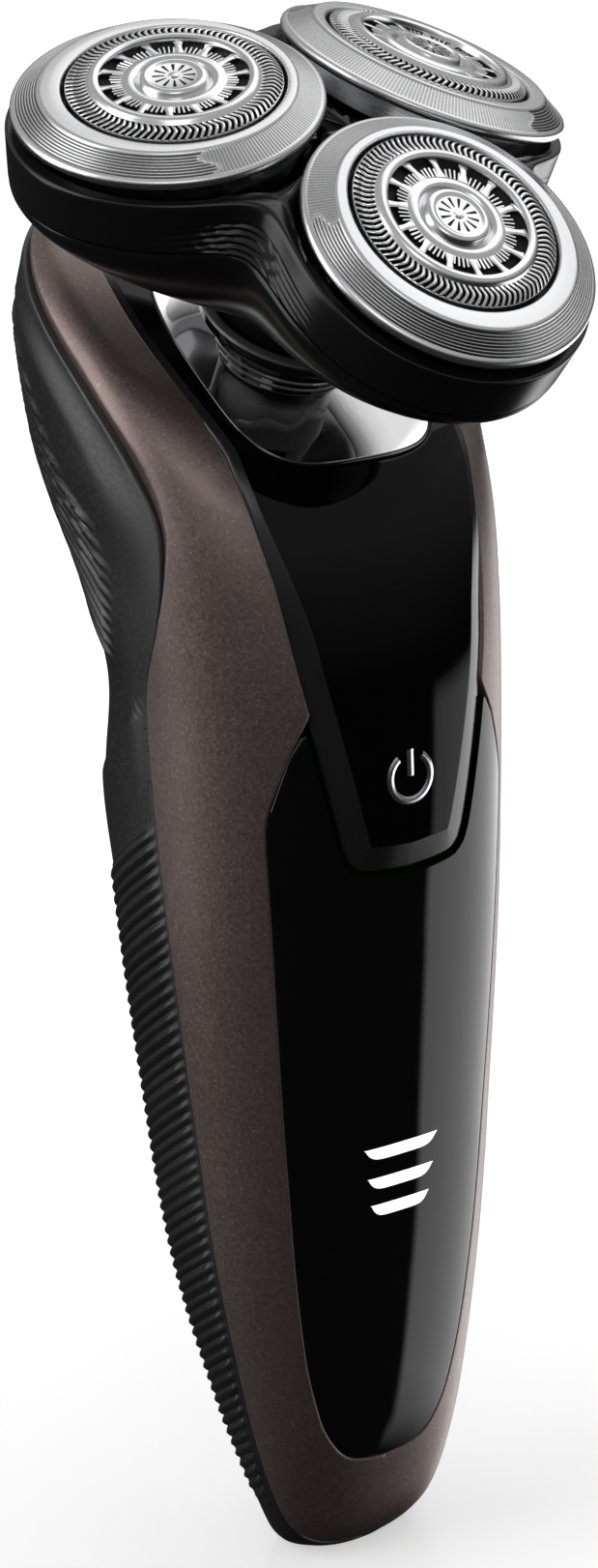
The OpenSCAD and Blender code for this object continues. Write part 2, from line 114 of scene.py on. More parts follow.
def add_piece(name, points, faces, body, materials, replaced=(), place=None,
              face_materials=None, sharp=35, weld=True, marks=()):
    """A finished mesh piece from points in millimetres, in the world or in the frame place.

    face_materials picks a material for each face; marks are named values at the points, which the
    materials can read.
    """
    mesh = bpy.data.meshes.new(name)
    mesh.from_pydata([tuple(p) for p in np.asarray(points, float) * MM], [], faces)
    piece = bpy.data.objects.new(name, mesh)
    bpy.context.scene.collection.objects.link(piece)
    for material in materials if isinstance(materials, (list, tuple)) else [materials]:
        mesh.materials.append(material)
    if face_materials is not None:
        mesh.polygons.foreach_set("material_index", face_materials)
    for mark, values in dict(marks).items():
        mesh.attributes.new(mark, "FLOAT", "POINT").data.foreach_set("value", values)
    if weld:
        tidy_mesh(mesh)
    mesh.shade_smooth()
    mesh.set_sharp_from_angle(angle=math.radians(sharp))
    if place is not None:
        piece.matrix_world = place
    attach(piece, body)
    if replaced:
        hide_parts(*replaced)
    return piece


WELD_REACH = 0.000004


def tidy_mesh(mesh):
    """Joins points that coincide and drops faces that have shrunk to nothing."""
    bm = bmesh.new()
    bm.from_mesh(mesh)
    bmesh.ops.remove_doubles(bm, verts=bm.verts, dist=WELD_REACH)
    bmesh.ops.dissolve_degenerate(bm, edges=bm.edges, dist=WELD_REACH / 2)
    bmesh.ops.recalc_face_normals(bm, faces=bm.faces)
    bm.to_mesh(mesh)
    bm.free()


def spline(points, step):
    """Smooth curve through points, with a point about every step of its length."""
    p = np.asarray(points, float)
    p = np.vstack([2 * p[0] - p[1], p, 2 * p[-1] - p[-2]])
    out = []
    for i in range(1, len(p) - 2):
        count = max(2, int(np.linalg.norm(p[i + 1] - p[i]) / step + 0.5))
        for t in np.arange(count) / count:
            out.append(0.5 * (2 * p[i] + (p[i + 1] - p[i - 1]) * t
                              + (2 * p[i - 1] - 5 * p[i] + 4 * p[i + 1] - p[i + 2]) * t ** 2
                              + (3 * p[i] - p[i - 1] - 3 * p[i + 1] + p[i + 2]) * t ** 3))
    out.append(p[-2])
    return np.array(out)


def resampled(points, count):
    """The same polyline with count evenly spaced points."""
    p = np.asarray(points, float)
    along = np.concatenate([[0], np.cumsum(np.linalg.norm(np.diff(p, axis=0), axis=1))])
    wanted = np.linspace(0, along[-1], count)
    return np.stack([np.interp(wanted, along, p[:, k]) for k in range(p.shape[1])], 1)


def smooth_step(low, high, value):
    """0 at low, 1 at high and smooth between; low may be the greater of the two."""
    t = np.clip((np.asarray(value, float) - low) / (high - low), 0, 1)
    return t * t * (3 - 2 * t)


# ---------- the handle's form ----------

# Stations up the handle: height, half width, widest place, front, back.
STATIONS = np.array([
    [0, 6.4, -4.4, -8.7, -0.2],
    [1.5, 8.7, -5.9, -10.2, 0.3],
    [4, 10.4, -7, -11.5, 0.8],
    [8.5, 12.1, -7.2, -12.6, 2],
    [17, 14.2, -6.4, -14, 6.8],
    [33, 16.9, -4, -15.1, 12.9],
    [52, 18.4, -2.4, -15.7, 17.1],
    [72, 19.7, -0.7, -16.3, 20.6],
    [87, 20.1, 0.6, -16.5, 22.6],
    [99, 20.4, 1, -15.8, 20.6],
    [107, 20.9, 1.6, -14.6, 24.6],
    [116, 21.5, 2.6, -12.2, 31.2],
    [124, 22.1, 5.1, -8.6, 33.9],
    [132, 22.8, 8.6, -3.9, 34.1],
    [140, 22.8, 12.6, 1.6, 33.6],
    [154, 20.6, 17.6, 9.6, 30.6],
])
TOP = 154
SPINE_TOP = 104
# The sloped top face: its tilt, the lip at its front, and the ways up along it and out of it.
SLOPE = math.radians(32.5)
LIP = np.array([0, -8.4, 124.6])
SLOPE_UP = np.array([0, math.cos(SLOPE), math.sin(SLOPE)])
SLOPE_OUT = np.array([0, -math.sin(SLOPE), math.cos(SLOPE)])

# Side view of the seam between frame and grip: y, z from the base up.
SEAM = spline([
    [-9.3, 0], [-9.1, 5], [-7.7, 18], [-6.6, 29], [-5, 41], [-3.1, 56], [-1.6, 69], [0.8, 85],
    [1.8, 95], [1.7, 101], [-0.5, 107], [-1.9, 113], [-1.4, 119], [2.8, 125], [8.4, 130.3],
    [14.2, 134.8], [19.6, 139], [25.6, 143.4], [35.6, 150],
], 1)

# Front view outlines, one half each: x, z.
PLATE_HALF = [
    [0, 82.5], [3, 82.7], [5.3, 83], [6.5, 83.6], [7.5, 85.3], [9.4, 93], [11.4, 102],
    [12.4, 108], [13.6, 118], [14.3, 123.5],
]
PANEL_HALF = [
    [0, 12.6], [4, 13.2], [6.1, 14.6], [7.9, 17.3], [9, 20.3], [10.3, 25.5], [11.3, 32],
    [12.2, 40], [13.4, 55], [14.2, 67], [14.9, 80], [15.2, 86.5], [15.1, 89.3], [14.4, 92],
    [13.1, 96],
]
# Outline of the cup's surround on the sloped face, one half: x, distance up the slope.
SURROUND_HALF = [
    [14.75, 4], [14.75, 8], [15.2, 16], [15.3, 22], [14.8, 28], [13.4, 34], [9, 38.6], [4.5, 40.2],
    [0, 40.5],
]


def station_sizes(z):
    """Half width, widest place, front and back of the handle's section at heights z."""
    s = STATIONS
    z = np.clip(z, 0, TOP)
    i = np.clip(np.searchsorted(s[:, 0], z, "right") - 1, 0, len(s) - 2)
    before = np.maximum(np.arange(len(s)) - 1, 0)
    after = np.minimum(np.arange(len(s)) + 1, len(s) - 1)
    slopes = (s[after, 1:] - s[before, 1:]) / (s[after, :1] - s[before, :1])
    h = s[i + 1, 0] - s[i, 0]
    t = ((z - s[i, 0]) / h)[..., None]
    h = h[..., None]
    value = ((2 * t ** 3 - 3 * t ** 2 + 1) * s[i, 1:] + (t ** 3 - 2 * t ** 2 + t) * h * slopes[i]
             + (3 * t ** 2 - 2 * t ** 3) * s[i + 1, 1:] + (t ** 3 - t ** 2) * h * slopes[i + 1])
    return value[..., 0], value[..., 1], value[..., 2], value[..., 3]


def squareness(z):
    """Power of the section's superellipse, which is rounder near the base."""
    return 2.2 + 0.3 * np.minimum(1, np.asarray(z) / 45)


def handle_distance(p, grow):
    """Roughly how far points are outside the handle's form."""
    half, centre, front, back = station_sizes(p[..., 2])
    n = squareness(p[..., 2])
    y = p[..., 1] - centre
    reach = np.where(y < 0, centre - front, back - centre) + grow
    x = np.abs(p[..., 0])
    ratio = ((x / (half + grow)) ** n + (np.abs(y) / reach) ** n) ** (1 / n)
    return (ratio - 1) * np.hypot(x, y) / np.maximum(ratio, 1e-6)


def body_distance(p, rounding, grow=0.0):
    """Distance outside the handle cut off by its sloped top face, with a rounded edge between."""
    a = handle_distance(p, grow) + rounding
    b = (p - LIP) @ SLOPE_OUT + rounding
    return np.minimum(np.maximum(a, b), 0) + np.hypot(np.maximum(a, 0), np.maximum(b, 0)) - rounding


def spine_point(p):
    """The point inside the handle from which p is seen straight on."""
    z = np.clip(p[..., 2], 0, SPINE_TOP)
    return np.stack([np.zeros_like(z), station_sizes(z)[1], z], -1)


def onto_body(points, **form):
    """Points moved in or out along their line from the spine until they are on the body's surface."""
    q = np.asarray(points, float)
    c = spine_point(q)
    low = np.full(q.shape[:-1], 0.3)
    high = np.full(q.shape[:-1], 2.5)
    for _ in range(40):
        middle = (low + high) / 2
        outside = body_distance(c + middle[..., None] * (q - c), **form) > 0
        high = np.where(outside, middle, high)
        low = np.where(outside, low, middle)
    return c + ((low + high) / 2)[..., None] * (q - c)


def body_normal(points, **form):
    """Unit vectors out of the body's surface."""
    step = 0.02
    gradient = np.stack([
        body_distance(points + step * axis, **form) - body_distance(points - step * axis, **form)
        for axis in np.eye(3)
    ], -1)
    return gradient / np.linalg.norm(gradient, axis=-1, keepdims=True)


def from_front(outline):
    """Points of a front view outline, brought to the front of the handle."""
    outline = np.asarray(outline, float)
    half, centre, front, _ = station_sizes(outline[:, 1])
    n = squareness(outline[:, 1])
    depth = np.maximum(1 - (np.abs(outline[:, 0]) / half) ** n, 0) ** (1 / n)
    return np.stack([outline[:, 0], centre - (centre - front) * depth, outline[:, 1]], 1)


def on_slope(outline, out=0.0):
    """Points of an outline on the sloped face, raised by out."""
    outline = np.asarray(outline, float)
    return LIP + outline[:, :1] * [1, 0, 0] + outline[:, 1:] * SLOPE_UP + out * SLOPE_OUT


def seam_y(z):
    """How far back the seam between frame and grip is at height z."""
    return np.interp(z, SEAM[:, 1], SEAM[:, 0])


# An edge turns over in these steps, in degrees, and one more row ends its wall.
EDGE_TURNS = (30, 60, 90)
EDGE_ROWS = len(EDGE_TURNS) + 1


def edge_strip(edge, inward, normal, roll, depth):
    """Rows that carry an edge over a small round and down a wall; inward points over the surface."""
    rows = []
    for turn in np.radians(EDGE_TURNS):
        rows.append(edge - inward * roll * math.sin(turn) - normal * roll * (1 - math.cos(turn)))
    rows.append(edge - inward * roll - normal * (roll + depth))
    return rows


def unit(v):
    return v / np.maximum(np.linalg.norm(v, axis=-1, keepdims=True), 1e-9)


def across_rows(a, b, shares, **form):
    """Rows between two curves, each moved onto the body's surface."""
    return [onto_body(a + (b - a) * share, **form) for share in shares]


def add_edges(rows, roll, depth, last=True, **form):
    """The same rows with rounded edges and walls along the first and, where last is true, the last."""
    out = list(rows)
    for at, beside in ((0, 1), (-1, -2)) if last else ((0, 1),):
        normal = body_normal(rows[at], **form)
        inward = rows[beside] - rows[at]
        inward = unit(inward - normal * (inward * normal).sum(-1, keepdims=True))
        strip = edge_strip(rows[at], inward, normal, roll, depth)
        out = strip[::-1] + out if at == 0 else out + strip
    return out


def both_sides(rows):
    """A grid and its mirror image, as points and faces."""
    grid = np.array(rows)
    count, wide = grid.shape[:2]
    points = grid.reshape(-1, 3)
    faces = grid_faces(count, wide)
    mirror = points * [-1, 1, 1]
    return np.vstack([points, mirror]), faces + flipped(grid_faces(count, wide, first=len(points)))


# ---------- materials ----------

class Nodes:
    """A tree of shader nodes under construction."""

    def __init__(self, tree):
        self.tree = tree

    def add(self, kind, inputs=(), **settings):
        node = self.tree.nodes.new(kind)
        for key, value in settings.items():
            setattr(node, key, value)
        for key, value in dict(inputs).items():
            self.put(node.inputs[key], value)
        return node

    def put(self, socket, value):
        if isinstance(value, bpy.types.NodeSocket):
            self.tree.links.new(value, socket)
        else:
            socket.default_value = value

    def between(self, value, low, high, out_low, out_high):
        return self.add("ShaderNodeMapRange", {
            "Value": value, "From Min": low, "From Max": high, "To Min": out_low, "To Max": out_high,
        }).outputs["Result"]

    def blend(self, share, first, second, kind="RGBA"):
        """The value first where share is 0, second where it is 1."""
        return self.add("ShaderNodeMix", {"Factor": share, "A": first, "B": second},
                        data_type=kind).outputs["Result"]

    def combine(self, operation, first, second):
        return self.add("ShaderNodeMath", {0: first, 1: second}, operation=operation).outputs["Value"]


class Surface(Nodes):
    """A material under construction."""

    def __init__(self, name):
        self.material = bpy.data.materials.new(name)
        self.material.use_nodes = True
        super().__init__(self.material.node_tree)
        self.shader = self.tree.nodes["Principled BSDF"]

    def set(self, **values):
        for key, value in values.items():
            self.put(self.shader.inputs[key.replace("_", " ")], value)

    def mark(self, name):
        return self.add("ShaderNodeAttribute", attribute_name=name).outputs["Fac"]

    def place(self):
        return self.add("ShaderNodeTexCoord").outputs["Object"]

    def noise(self, scale, detail=3.0, vector=None):
        return self.add("ShaderNodeTexNoise", {
            "Vector": vector or self.place(), "Scale": scale, "Detail": detail,
        }).outputs["Fac"]

    def ramp(self, value, *stops):
        node = self.add("ShaderNodeValToRGB", {"Fac": value})
        for element, (at, colour) in zip(node.color_ramp.elements, stops):
            element.position = at
            element.color = (*colour, 1)
        return node.outputs["Color"]

    def point(self, x, y):
        return self.add("ShaderNodeCombineXYZ", {"X": x, "Y": y}).outputs["Vector"]

    def length(self, vector):
        return self.add("ShaderNodeVectorMath", {"Vector": vector}, operation="LENGTH").outputs["Value"]

    def bump(self, height, strength, distance):
        return self.add("ShaderNodeBump", {
            "Height": height, "Strength": strength, "Distance": distance,
        }).outputs["Normal"]


def speckled(name, dark, light, metallic, rough, grain=900, bump=0.15, **extra):
    """A surface whose colour wanders from dark to light, with a fine grain."""
    m = Surface(name)
    broad = m.noise(60)
    fine = m.noise(grain * 2, detail=1)
    m.set(
        Base_Color=m.ramp(broad, (0.3, dark), (0.7, light)),
        Metallic=metallic,
        Roughness=m.between(broad, 0.3, 0.7, rough * 0.88, rough * 1.12),
        Normal=m.bump(fine, bump, 0.00004),
        **extra,
    )
    return m.material


def lacquer_material():
    """Dark brown metallic lacquer with fine bright flakes."""
    m = Surface("brown_lacquer")
    flakes = m.add("ShaderNodeTexVoronoi", {"Vector": m.place(), "Scale": 5200.0})
    spark = m.between(flakes.outputs["Color"], 0.8, 1.0, 0.0, 1.0)
    fine = m.noise(2600, detail=1)
    base = m.ramp(fine, (0.3, (0.20, 0.150, 0.138)), (0.7, (0.26, 0.197, 0.182)))
    m.set(
        Base_Color=m.blend(spark, base, (0.42, 0.33, 0.30, 1)), Metallic=0.72,
        Roughness=m.between(fine, 0.3, 0.7, 0.36, 0.46),
        Normal=m.bump(fine, 0.12, 0.00003), Coat_Weight=0.12, Coat_Roughness=0.25,
    )
    return m.material


def gloss_material(name, colour, rough=0.045, **extra):
    """Polished moulding with a trace of waviness and dust-fine roughness."""
    m = Surface(name)
    waves = m.noise(45, detail=1)
    m.set(
        Base_Color=m.ramp(m.noise(500), (0.35, colour), (0.65, [c * 1.25 for c in colour])),
        Roughness=m.between(m.noise(900), 0.3, 0.7, rough * 0.8, rough * 1.25),
        Normal=m.bump(waves, 0.05, 0.00006), **extra,
    )
    return m.material


TURNING_PITCH = 0.00012
# Painted shade: the near-black blended into a ring's grooves and knurling where its cut mark is high.
PAINTED_GROOVE_SHADE = (0.012, 0.012, 0.013, 1)


def turned_material(name, colour, rough, anisotropic):
    """Metal turned on a lathe about the piece's own Z axis: fine rings, and painted shade in its grooves."""
    m = Surface(name)
    place = m.add("ShaderNodeSeparateXYZ", {"Vector": m.place()}).outputs
    radius = m.length(m.point(place["X"], place["Y"]))
    rings = m.noise(1 / TURNING_PITCH, detail=2, vector=m.point(radius, place["Z"]))
    bright = m.ramp(rings, (0.3, [c * 0.9 for c in colour]), (0.7, colour))
    m.set(
        Base_Color=m.blend(m.mark("cut"), bright, PAINTED_GROOVE_SHADE),
        Metallic=1.0, Roughness=m.between(rings, 0.3, 0.7, rough * 0.85, rough * 1.2),
        Normal=m.bump(rings, 0.06, 0.00001),
        Tangent=m.add("ShaderNodeTangent", direction_type="RADIAL", axis="Z").outputs["Tangent"],
        Anisotropic=anisotropic,
    )
    return m.material


def glow_material(name, colour, strength):
    """A lit lens, with the soft unevenness of a diffuser."""
    m = Surface(name)
    m.set(
        Base_Color=m.ramp(m.noise(400), (0.3, [c * 0.95 for c in colour]), (0.7, colour)),
        Roughness=0.3, Emission_Color=(*colour, 1), Emission_Strength=strength,
    )
    return m.material


def rubber_material():
    """Matt black rubber with a slight sheen."""
    m = Surface("rubber_black")
    fine = m.noise(2400, detail=2)
    m.set(
        Base_Color=m.ramp(m.noise(80), (0.3, (0.010, 0.010, 0.011)), (0.7, (0.017, 0.017, 0.018))),
        Roughness=m.between(fine, 0.3, 0.7, 0.36, 0.5), Normal=m.bump(fine, 0.25, 0.00004),
        Specular_IOR_Level=0.9,
    )
    return m.material


MATERIALS = {
    "brown_paint": lacquer_material(),
    "rubber_grip": rubber_material(),
    "black_gloss": gloss_material("black_gloss", (0.0035, 0.0035, 0.004)),
    "black_satin": speckled("black_satin", (0.006, 0.006, 0.0065), (0.010, 0.010, 0.011), 0.0, 0.2,
                            bump=0.05),
    "dark_plastic": speckled("dark_plastic", (0.035, 0.035, 0.038), (0.055, 0.055, 0.058), 0.0, 0.42),
    "chrome": gloss_material("mirror_chrome", (0.82, 0.83, 0.85), 0.03, Metallic=1.0),
    "steel": turned_material("turned_steel", (0.8, 0.8, 0.81), 0.26, 0.6),
    "bright_steel": turned_material("bright_steel", (0.84, 0.84, 0.85), 0.2, 0.4),
    "white_lens": glow_material("white_lens", (1.0, 1.0, 1.0), 1.6),
    "brass": speckled("brass", (0.62, 0.45, 0.2), (0.76, 0.58, 0.3), 1.0, 0.28),
    "copper_armature": speckled("copper_winding", (0.42, 0.19, 0.1), (0.6, 0.3, 0.17), 1.0, 0.35,
                                grain=600, bump=0.5),
    "cell_wrap": speckled("cell_wrap", (0.03, 0.09, 0.24), (0.045, 0.12, 0.3), 0.0, 0.22),
    "board": speckled("circuit_board", (0.01, 0.07, 0.03), (0.02, 0.11, 0.05), 0.0, 0.35, grain=300),
    "acetal": speckled("acetal", (0.72, 0.72, 0.68), (0.82, 0.82, 0.78), 0.0, 0.4,
                       Subsurface_Weight=0.1),
    "seal": speckled("seal", (0.02, 0.02, 0.02), (0.035, 0.035, 0.035), 0.0, 0.7),
}
PLATE_GLOSS = gloss_material("plate_gloss", (0.0025, 0.0025, 0.003), Specular_IOR_Level=0.2)
PLATE_MARGIN = speckled("plate_margin", (0.018, 0.018, 0.019), (0.026, 0.026, 0.027), 0.0, 0.16,
                        bump=0.03)
# Painted shade: near-black matt for the walls of the cap's slots, the floor under them, its vents and the collar's
# well.
PAINTED_SHADE_BLACK = speckled("painted_shade_black", (0.002, 0.002, 0.002), (0.004, 0.004, 0.004), 0.0, 0.75)
SYMBOL_METAL = speckled("symbol_silver", (0.68, 0.68, 0.7), (0.85, 0.85, 0.87), 1.0, 0.22)
DARK_STEEL = speckled("cutter_steel", (0.12, 0.12, 0.125), (0.2, 0.2, 0.205), 1.0, 0.35)
# Painted highlight: the black gloss collar's rim coloured grey where light catches it.
PAINTED_RIM_HIGHLIGHT = speckled("painted_rim_highlight", (0.10, 0.10, 0.105), (0.15, 0.15, 0.155), 0.0, 0.3, bump=0.05)
COVER_BLACK = speckled("cover_black", (0.006, 0.006, 0.0065), (0.010, 0.010, 0.0105), 0.0, 0.22,
                       bump=0.04, Specular_IOR_Level=0.4)


def painted_glow_cup_material():
    """Mirror chrome with painted light: a glow and lighter colour on its walls as a painted reflection of a white
    studio, and a floor painted dark.
    """
    m = Surface("chrome_cup_painted_glow")
    m.set(
        Base_Color=m.ramp(m.mark("wall"), (0.0, (0.14, 0.14, 0.145)), (0.6, (0.85, 0.85, 0.87))),
        Metallic=1.0, Roughness=m.between(m.noise(900), 0.3, 0.7, 0.03, 0.05),
        Emission_Color=(1, 1, 1, 1), Emission_Strength=m.between(m.mark("wall"), 0, 1, 0, 0.7),
    )
    return m.material


# ---------- handle pieces ----------

SEAM_GAP = 0.14
EDGE_ROLL = 0.4
EDGE_WALL = 2.4
# How far the pieces stand out of the handle's form, and the rounding of its upper edge on them.
HANDLE_FORM = {"rounding": 4.0}
PANEL_FORM = {"rounding": 0.5}
PLATE_FORM = {"grow": 0.3, "rounding": 2.2}


def grown(outline, by):
    """A front view half outline moved outward along its own normals."""
    p = np.asarray(outline, float)
    ahead = np.vstack([p[1:], 2 * p[-1] - p[-2]])
    back = np.vstack([2 * p[0] - p[1], p[:-1]])
    run = unit(ahead - back)
    return p + by * np.stack([run[:, 1], -run[:, 0]], 1)


def seam_curve(low, high, count):
    """The frame's edge along the seam on the right side, between two heights."""
    z = np.linspace(low, high, count)
    y = seam_y(z) - SEAM_GAP
    half, centre, front, back = station_sizes(z)
    n = squareness(z)
    reach = np.where(y < centre, centre - front, back - centre)
    x = half * np.maximum(1 - (np.abs(y - centre) / reach) ** n, 0) ** (1 / n)
    return np.stack([x, y, z], 1)


# Heights of the frame: its foot, the ends of the sides between the panel and the seam, and its top.
FRAME_FOOT, SIDES_FOOT, SIDES_TOP, FRAME_TOP = 0.9, 5, 117, 146.4
UNDER_PANEL_COLUMNS = 16
PLATE_BESIDE_FRAME = 99.5


def frame_edges():
    """The frame's inner edge, round the panel, plate and cup, and its outer edge along the seam."""
    panel = grown(spline(PANEL_HALF, 1.0), 0.32)
    plate = grown(spline(PLATE_HALF, 1.0), 0.32)
    plate = plate[plate[:, 1] > PLATE_BESIDE_FRAME]
    middle_z = np.linspace(FRAME_FOOT, panel[0, 1], 10)[:-1]
    under_panel = from_front(np.stack([0 * middle_z, middle_z], 1))
    sides = from_front(np.vstack([panel, plate]))
    surround = on_slope(grown(spline(SURROUND_HALF, 1.2), 0.3))
    parts = [
        (under_panel, seam_curve(FRAME_FOOT, SIDES_FOOT, 2), UNDER_PANEL_COLUMNS),
        (sides, seam_curve(SIDES_FOOT, SIDES_TOP, 100), 190),
        (surround, seam_curve(SIDES_TOP + 1, FRAME_TOP, 60), 80),
    ]
    inner = np.vstack([resampled(edge, count) for edge, _, count in parts])
    outer = np.vstack([resampled(edge, count) for _, edge, count in parts])
    outer[-1, 0] = 0
    return onto_body(inner, **HANDLE_FORM), onto_body(outer, **HANDLE_FORM)


def frame_shell():
    """The metallic frame: from the seam over the side to the panel, the plate and the cup's surround."""
    inner, outer = frame_edges()
    bevel_share = (bevel_width(outer[:, 2]) + 0.5) / np.linalg.norm(inner - outer, axis=1)
    bevel_edge = outer + (inner - outer) * np.minimum(bevel_share, 0.5)[:, None]
    rows = across_rows(outer, bevel_edge, np.linspace(0, 0.95, 9), **HANDLE_FORM)
    shares = np.concatenate([[0, 0.03], np.linspace(0.06, 0.95, 32), [0.965, 0.98, 0.99, 1]])
    rows += across_rows(bevel_edge, inner, shares, **HANDLE_FORM)
    rows = chamfered(rows)
    edged = add_edges(rows, EDGE_ROLL, EDGE_WALL, **HANDLE_FORM)
    for strip in edged[-EDGE_ROWS:]:
        strip[:UNDER_PANEL_COLUMNS] = rows[-1][:UNDER_PANEL_COLUMNS]
    points, faces = both_sides(edged)
    add_piece("frame_body", points, faces, "handle", MATERIALS["brown_paint"],
              ["frame_shell"])


def bevel_width(height):
    """Width of the bevel beside the seam: none at the waist, widest round the hood."""
    return 2.6 * smooth_step(106, 126, height)


def chamfered(rows):
    """The same rows with the band beside the seam lowered into a bevel."""
    grid = np.array(rows)
    away = np.linalg.norm(grid - grid[0], axis=-1)
    width = bevel_width(grid[0, :, 2])
    depth = 0.34 * width * np.clip(1 - away / np.maximum(width, 0.01), 0, 1)
    normal = body_normal(grid, **HANDLE_FORM)
    return list(grid - normal * depth[..., None])


# The grip's top edge goes on by this much, in under the frame.
TUCK_UNDER_FRAME = np.array([0, -1.2, 0.4])
SOCKET_Y = -4.4
SOCKET_HALF_WIDTH = 4.7
SOCKET_HALF_DEPTH = 2.8
SOCKET_WALL = 1.4
GRIP_TOP = 146.9
GRIP_ROW = 0.26
GRIP_COLUMNS = 58

RIB_PITCH = 1.55
RIB_HEIGHT = 0.46
# The two fields of ribs: how much a rib's height changes for each millimetre to the back.
LOW_RIB_FALL = 0.72
LOW_RIBS_TOP = 87.2
HIGH_RIB_RISE = 0.6
# Front edge of the upper field: y, z.
HIGH_RIBS_EDGE = np.array([
    [12, 96], [8.9, 103], [7.9, 109], [7.9, 113], [9.9, 117.4], [14.1, 120.3], [17.2, 124.5],
    [20.5, 130], [27, 138],
])
# The crease under the hood, where the grip steps in.
CREASE_FALL = 0.95
CREASE_TOP = 102.2
CREASE_STEP = 0.35
HOOD_SWELL = 0.8


def rib_wave(count):
    """Height of sharp-crested ribs, 0 to 1, at a number of pitches along."""
    phase = count - np.floor(count)
    return 1 - np.abs(2 * phase - 1) ** 1.6


def grip_height(y, z, behind):
    """How far the grip's surface stands out at y and z; behind is the distance behind the seam."""
    low_rib = z + LOW_RIB_FALL * y
    low = smooth_step(-0.3, 0.5, LOW_RIBS_TOP - low_rib) * smooth_step(6, 9, z)
    low = low * smooth_step(0.5, 1.2, behind) * rib_wave(low_rib / RIB_PITCH)
    high_rib = z - HIGH_RIB_RISE * y
    past_edge = y - np.interp(z, HIGH_RIBS_EDGE[:, 1], HIGH_RIBS_EDGE[:, 0])
    high = smooth_step(0, 0.9, past_edge) * smooth_step(95, 97, high_rib)
    high = high * smooth_step(123, 121, high_rib) * rib_wave(high_rib / RIB_PITCH)
    crease = z + CREASE_FALL * y - CREASE_TOP
    step = smooth_step(0.5, -0.5, crease) * smooth_step(-14, -1, crease) * smooth_step(0.5, 2.5, behind)
    swell = smooth_step(110, 124, z) * smooth_step(147, 133, z) * smooth_step(1, 7, behind)
    return RIB_HEIGHT * (low + high) + CREASE_STEP * step + HOOD_SWELL * swell


def grip_levels(heights, angle):
    """x, y and z of the grip's smooth form at an angle, on level lines that tilt along with the ribs."""
    level = heights[:, None]
    tilt = (LOW_RIB_FALL * smooth_step(0, 12, level)
            - (LOW_RIB_FALL + HIGH_RIB_RISE) * smooth_step(80, 104, level)
            + HIGH_RIB_RISE * smooth_step(120, 144, level))
    rearmost = station_sizes(level)[3]
    z = level + 0 * angle
    side = np.sin(angle)
    for _ in range(12):
        half, centre, front, back = station_sizes(z)
        n = squareness(z)
        reach = np.where(side < 0, centre - front, back - centre)
        y = centre + reach * np.sign(side) * np.abs(side) ** (2 / n)
        x = half * np.abs(np.cos(angle)) ** (2 / n)
        z = np.clip(level + tilt * (rearmost - y), 0, TOP)
    return x, y, z


def seam_angle(heights):
    """The angle at which each level line reaches the grip's edge behind the seam."""
    low = np.full((len(heights), 1), -math.pi / 2)
    high = -low
    for _ in range(40):
        middle = (low + high) / 2
        _, y, z = grip_levels(heights, middle)
        ahead = y < seam_y(z) + SEAM_GAP
        low, high = np.where(ahead, middle, low), np.where(ahead, high, middle)
    return (low + high) / 2


def grip_base(foot):
    """The grip's base, from its foot in to the rounded opening over the charging socket."""
    from_socket = np.abs(foot[:, 1] - SOCKET_Y) / SOCKET_HALF_DEPTH
    opening = SOCKET_HALF_WIDTH * np.maximum(1 - from_socket ** 8, 0) ** (1 / 8)
    lip = foot * [0, 1, 1] + opening[:, None] * [1, 0, 0]
    return both_sides([foot, lip, lip + (opening > 0)[:, None] * [0, 0, SOCKET_WALL]])


def back_grip():
    """The ribbed rubber grip, from seam to seam round the back, with its base."""
    foot_rows = np.arange(0, 1.8, 0.3)
    heights = np.concatenate([foot_rows, np.arange(1.8, GRIP_TOP, GRIP_ROW), [GRIP_TOP]])
    start = seam_angle(heights)
    share = np.concatenate([[0, 0.008, 0.02], np.linspace(0.04, 1, GRIP_COLUMNS)])
    x, y, z = grip_levels(heights, start + (math.pi / 2 - start) * share)
    smooth = onto_body(np.stack([x, y, z], -1), **HANDLE_FORM)
    normal = body_normal(smooth, **HANDLE_FORM)
    raised = smooth + normal * grip_height(y, z, y - seam_y(z))[..., None]
    past_slope = np.maximum((raised - LIP) @ SLOPE_OUT + 0.05, 0)
    raised -= SLOPE_OUT * past_slope[..., None]
    columns = [raised[:, c] for c in range(len(share))]
    inward = unit(smooth[:, 2] - smooth[:, 0])
    strip = edge_strip(columns[0], inward, normal[:, 0], EDGE_ROLL, EDGE_WALL)
    rows = [np.vstack([row, row[-1:] + TUCK_UNDER_FRAME]) for row in strip[::-1] + columns]
    points, faces = both_sides(rows)
    base_points, base_faces = grip_base(np.array([row[0] for row in rows]))
    faces += [tuple(i + len(points) for i in face) for face in base_faces]
    add_piece("rear_grip", np.vstack([points, base_points]), faces, "handle",
              MATERIALS["rubber_grip"], ["back_grip"], sharp=50)


PANEL_SPLIT = 81
NOTCH_TOP = 98.5


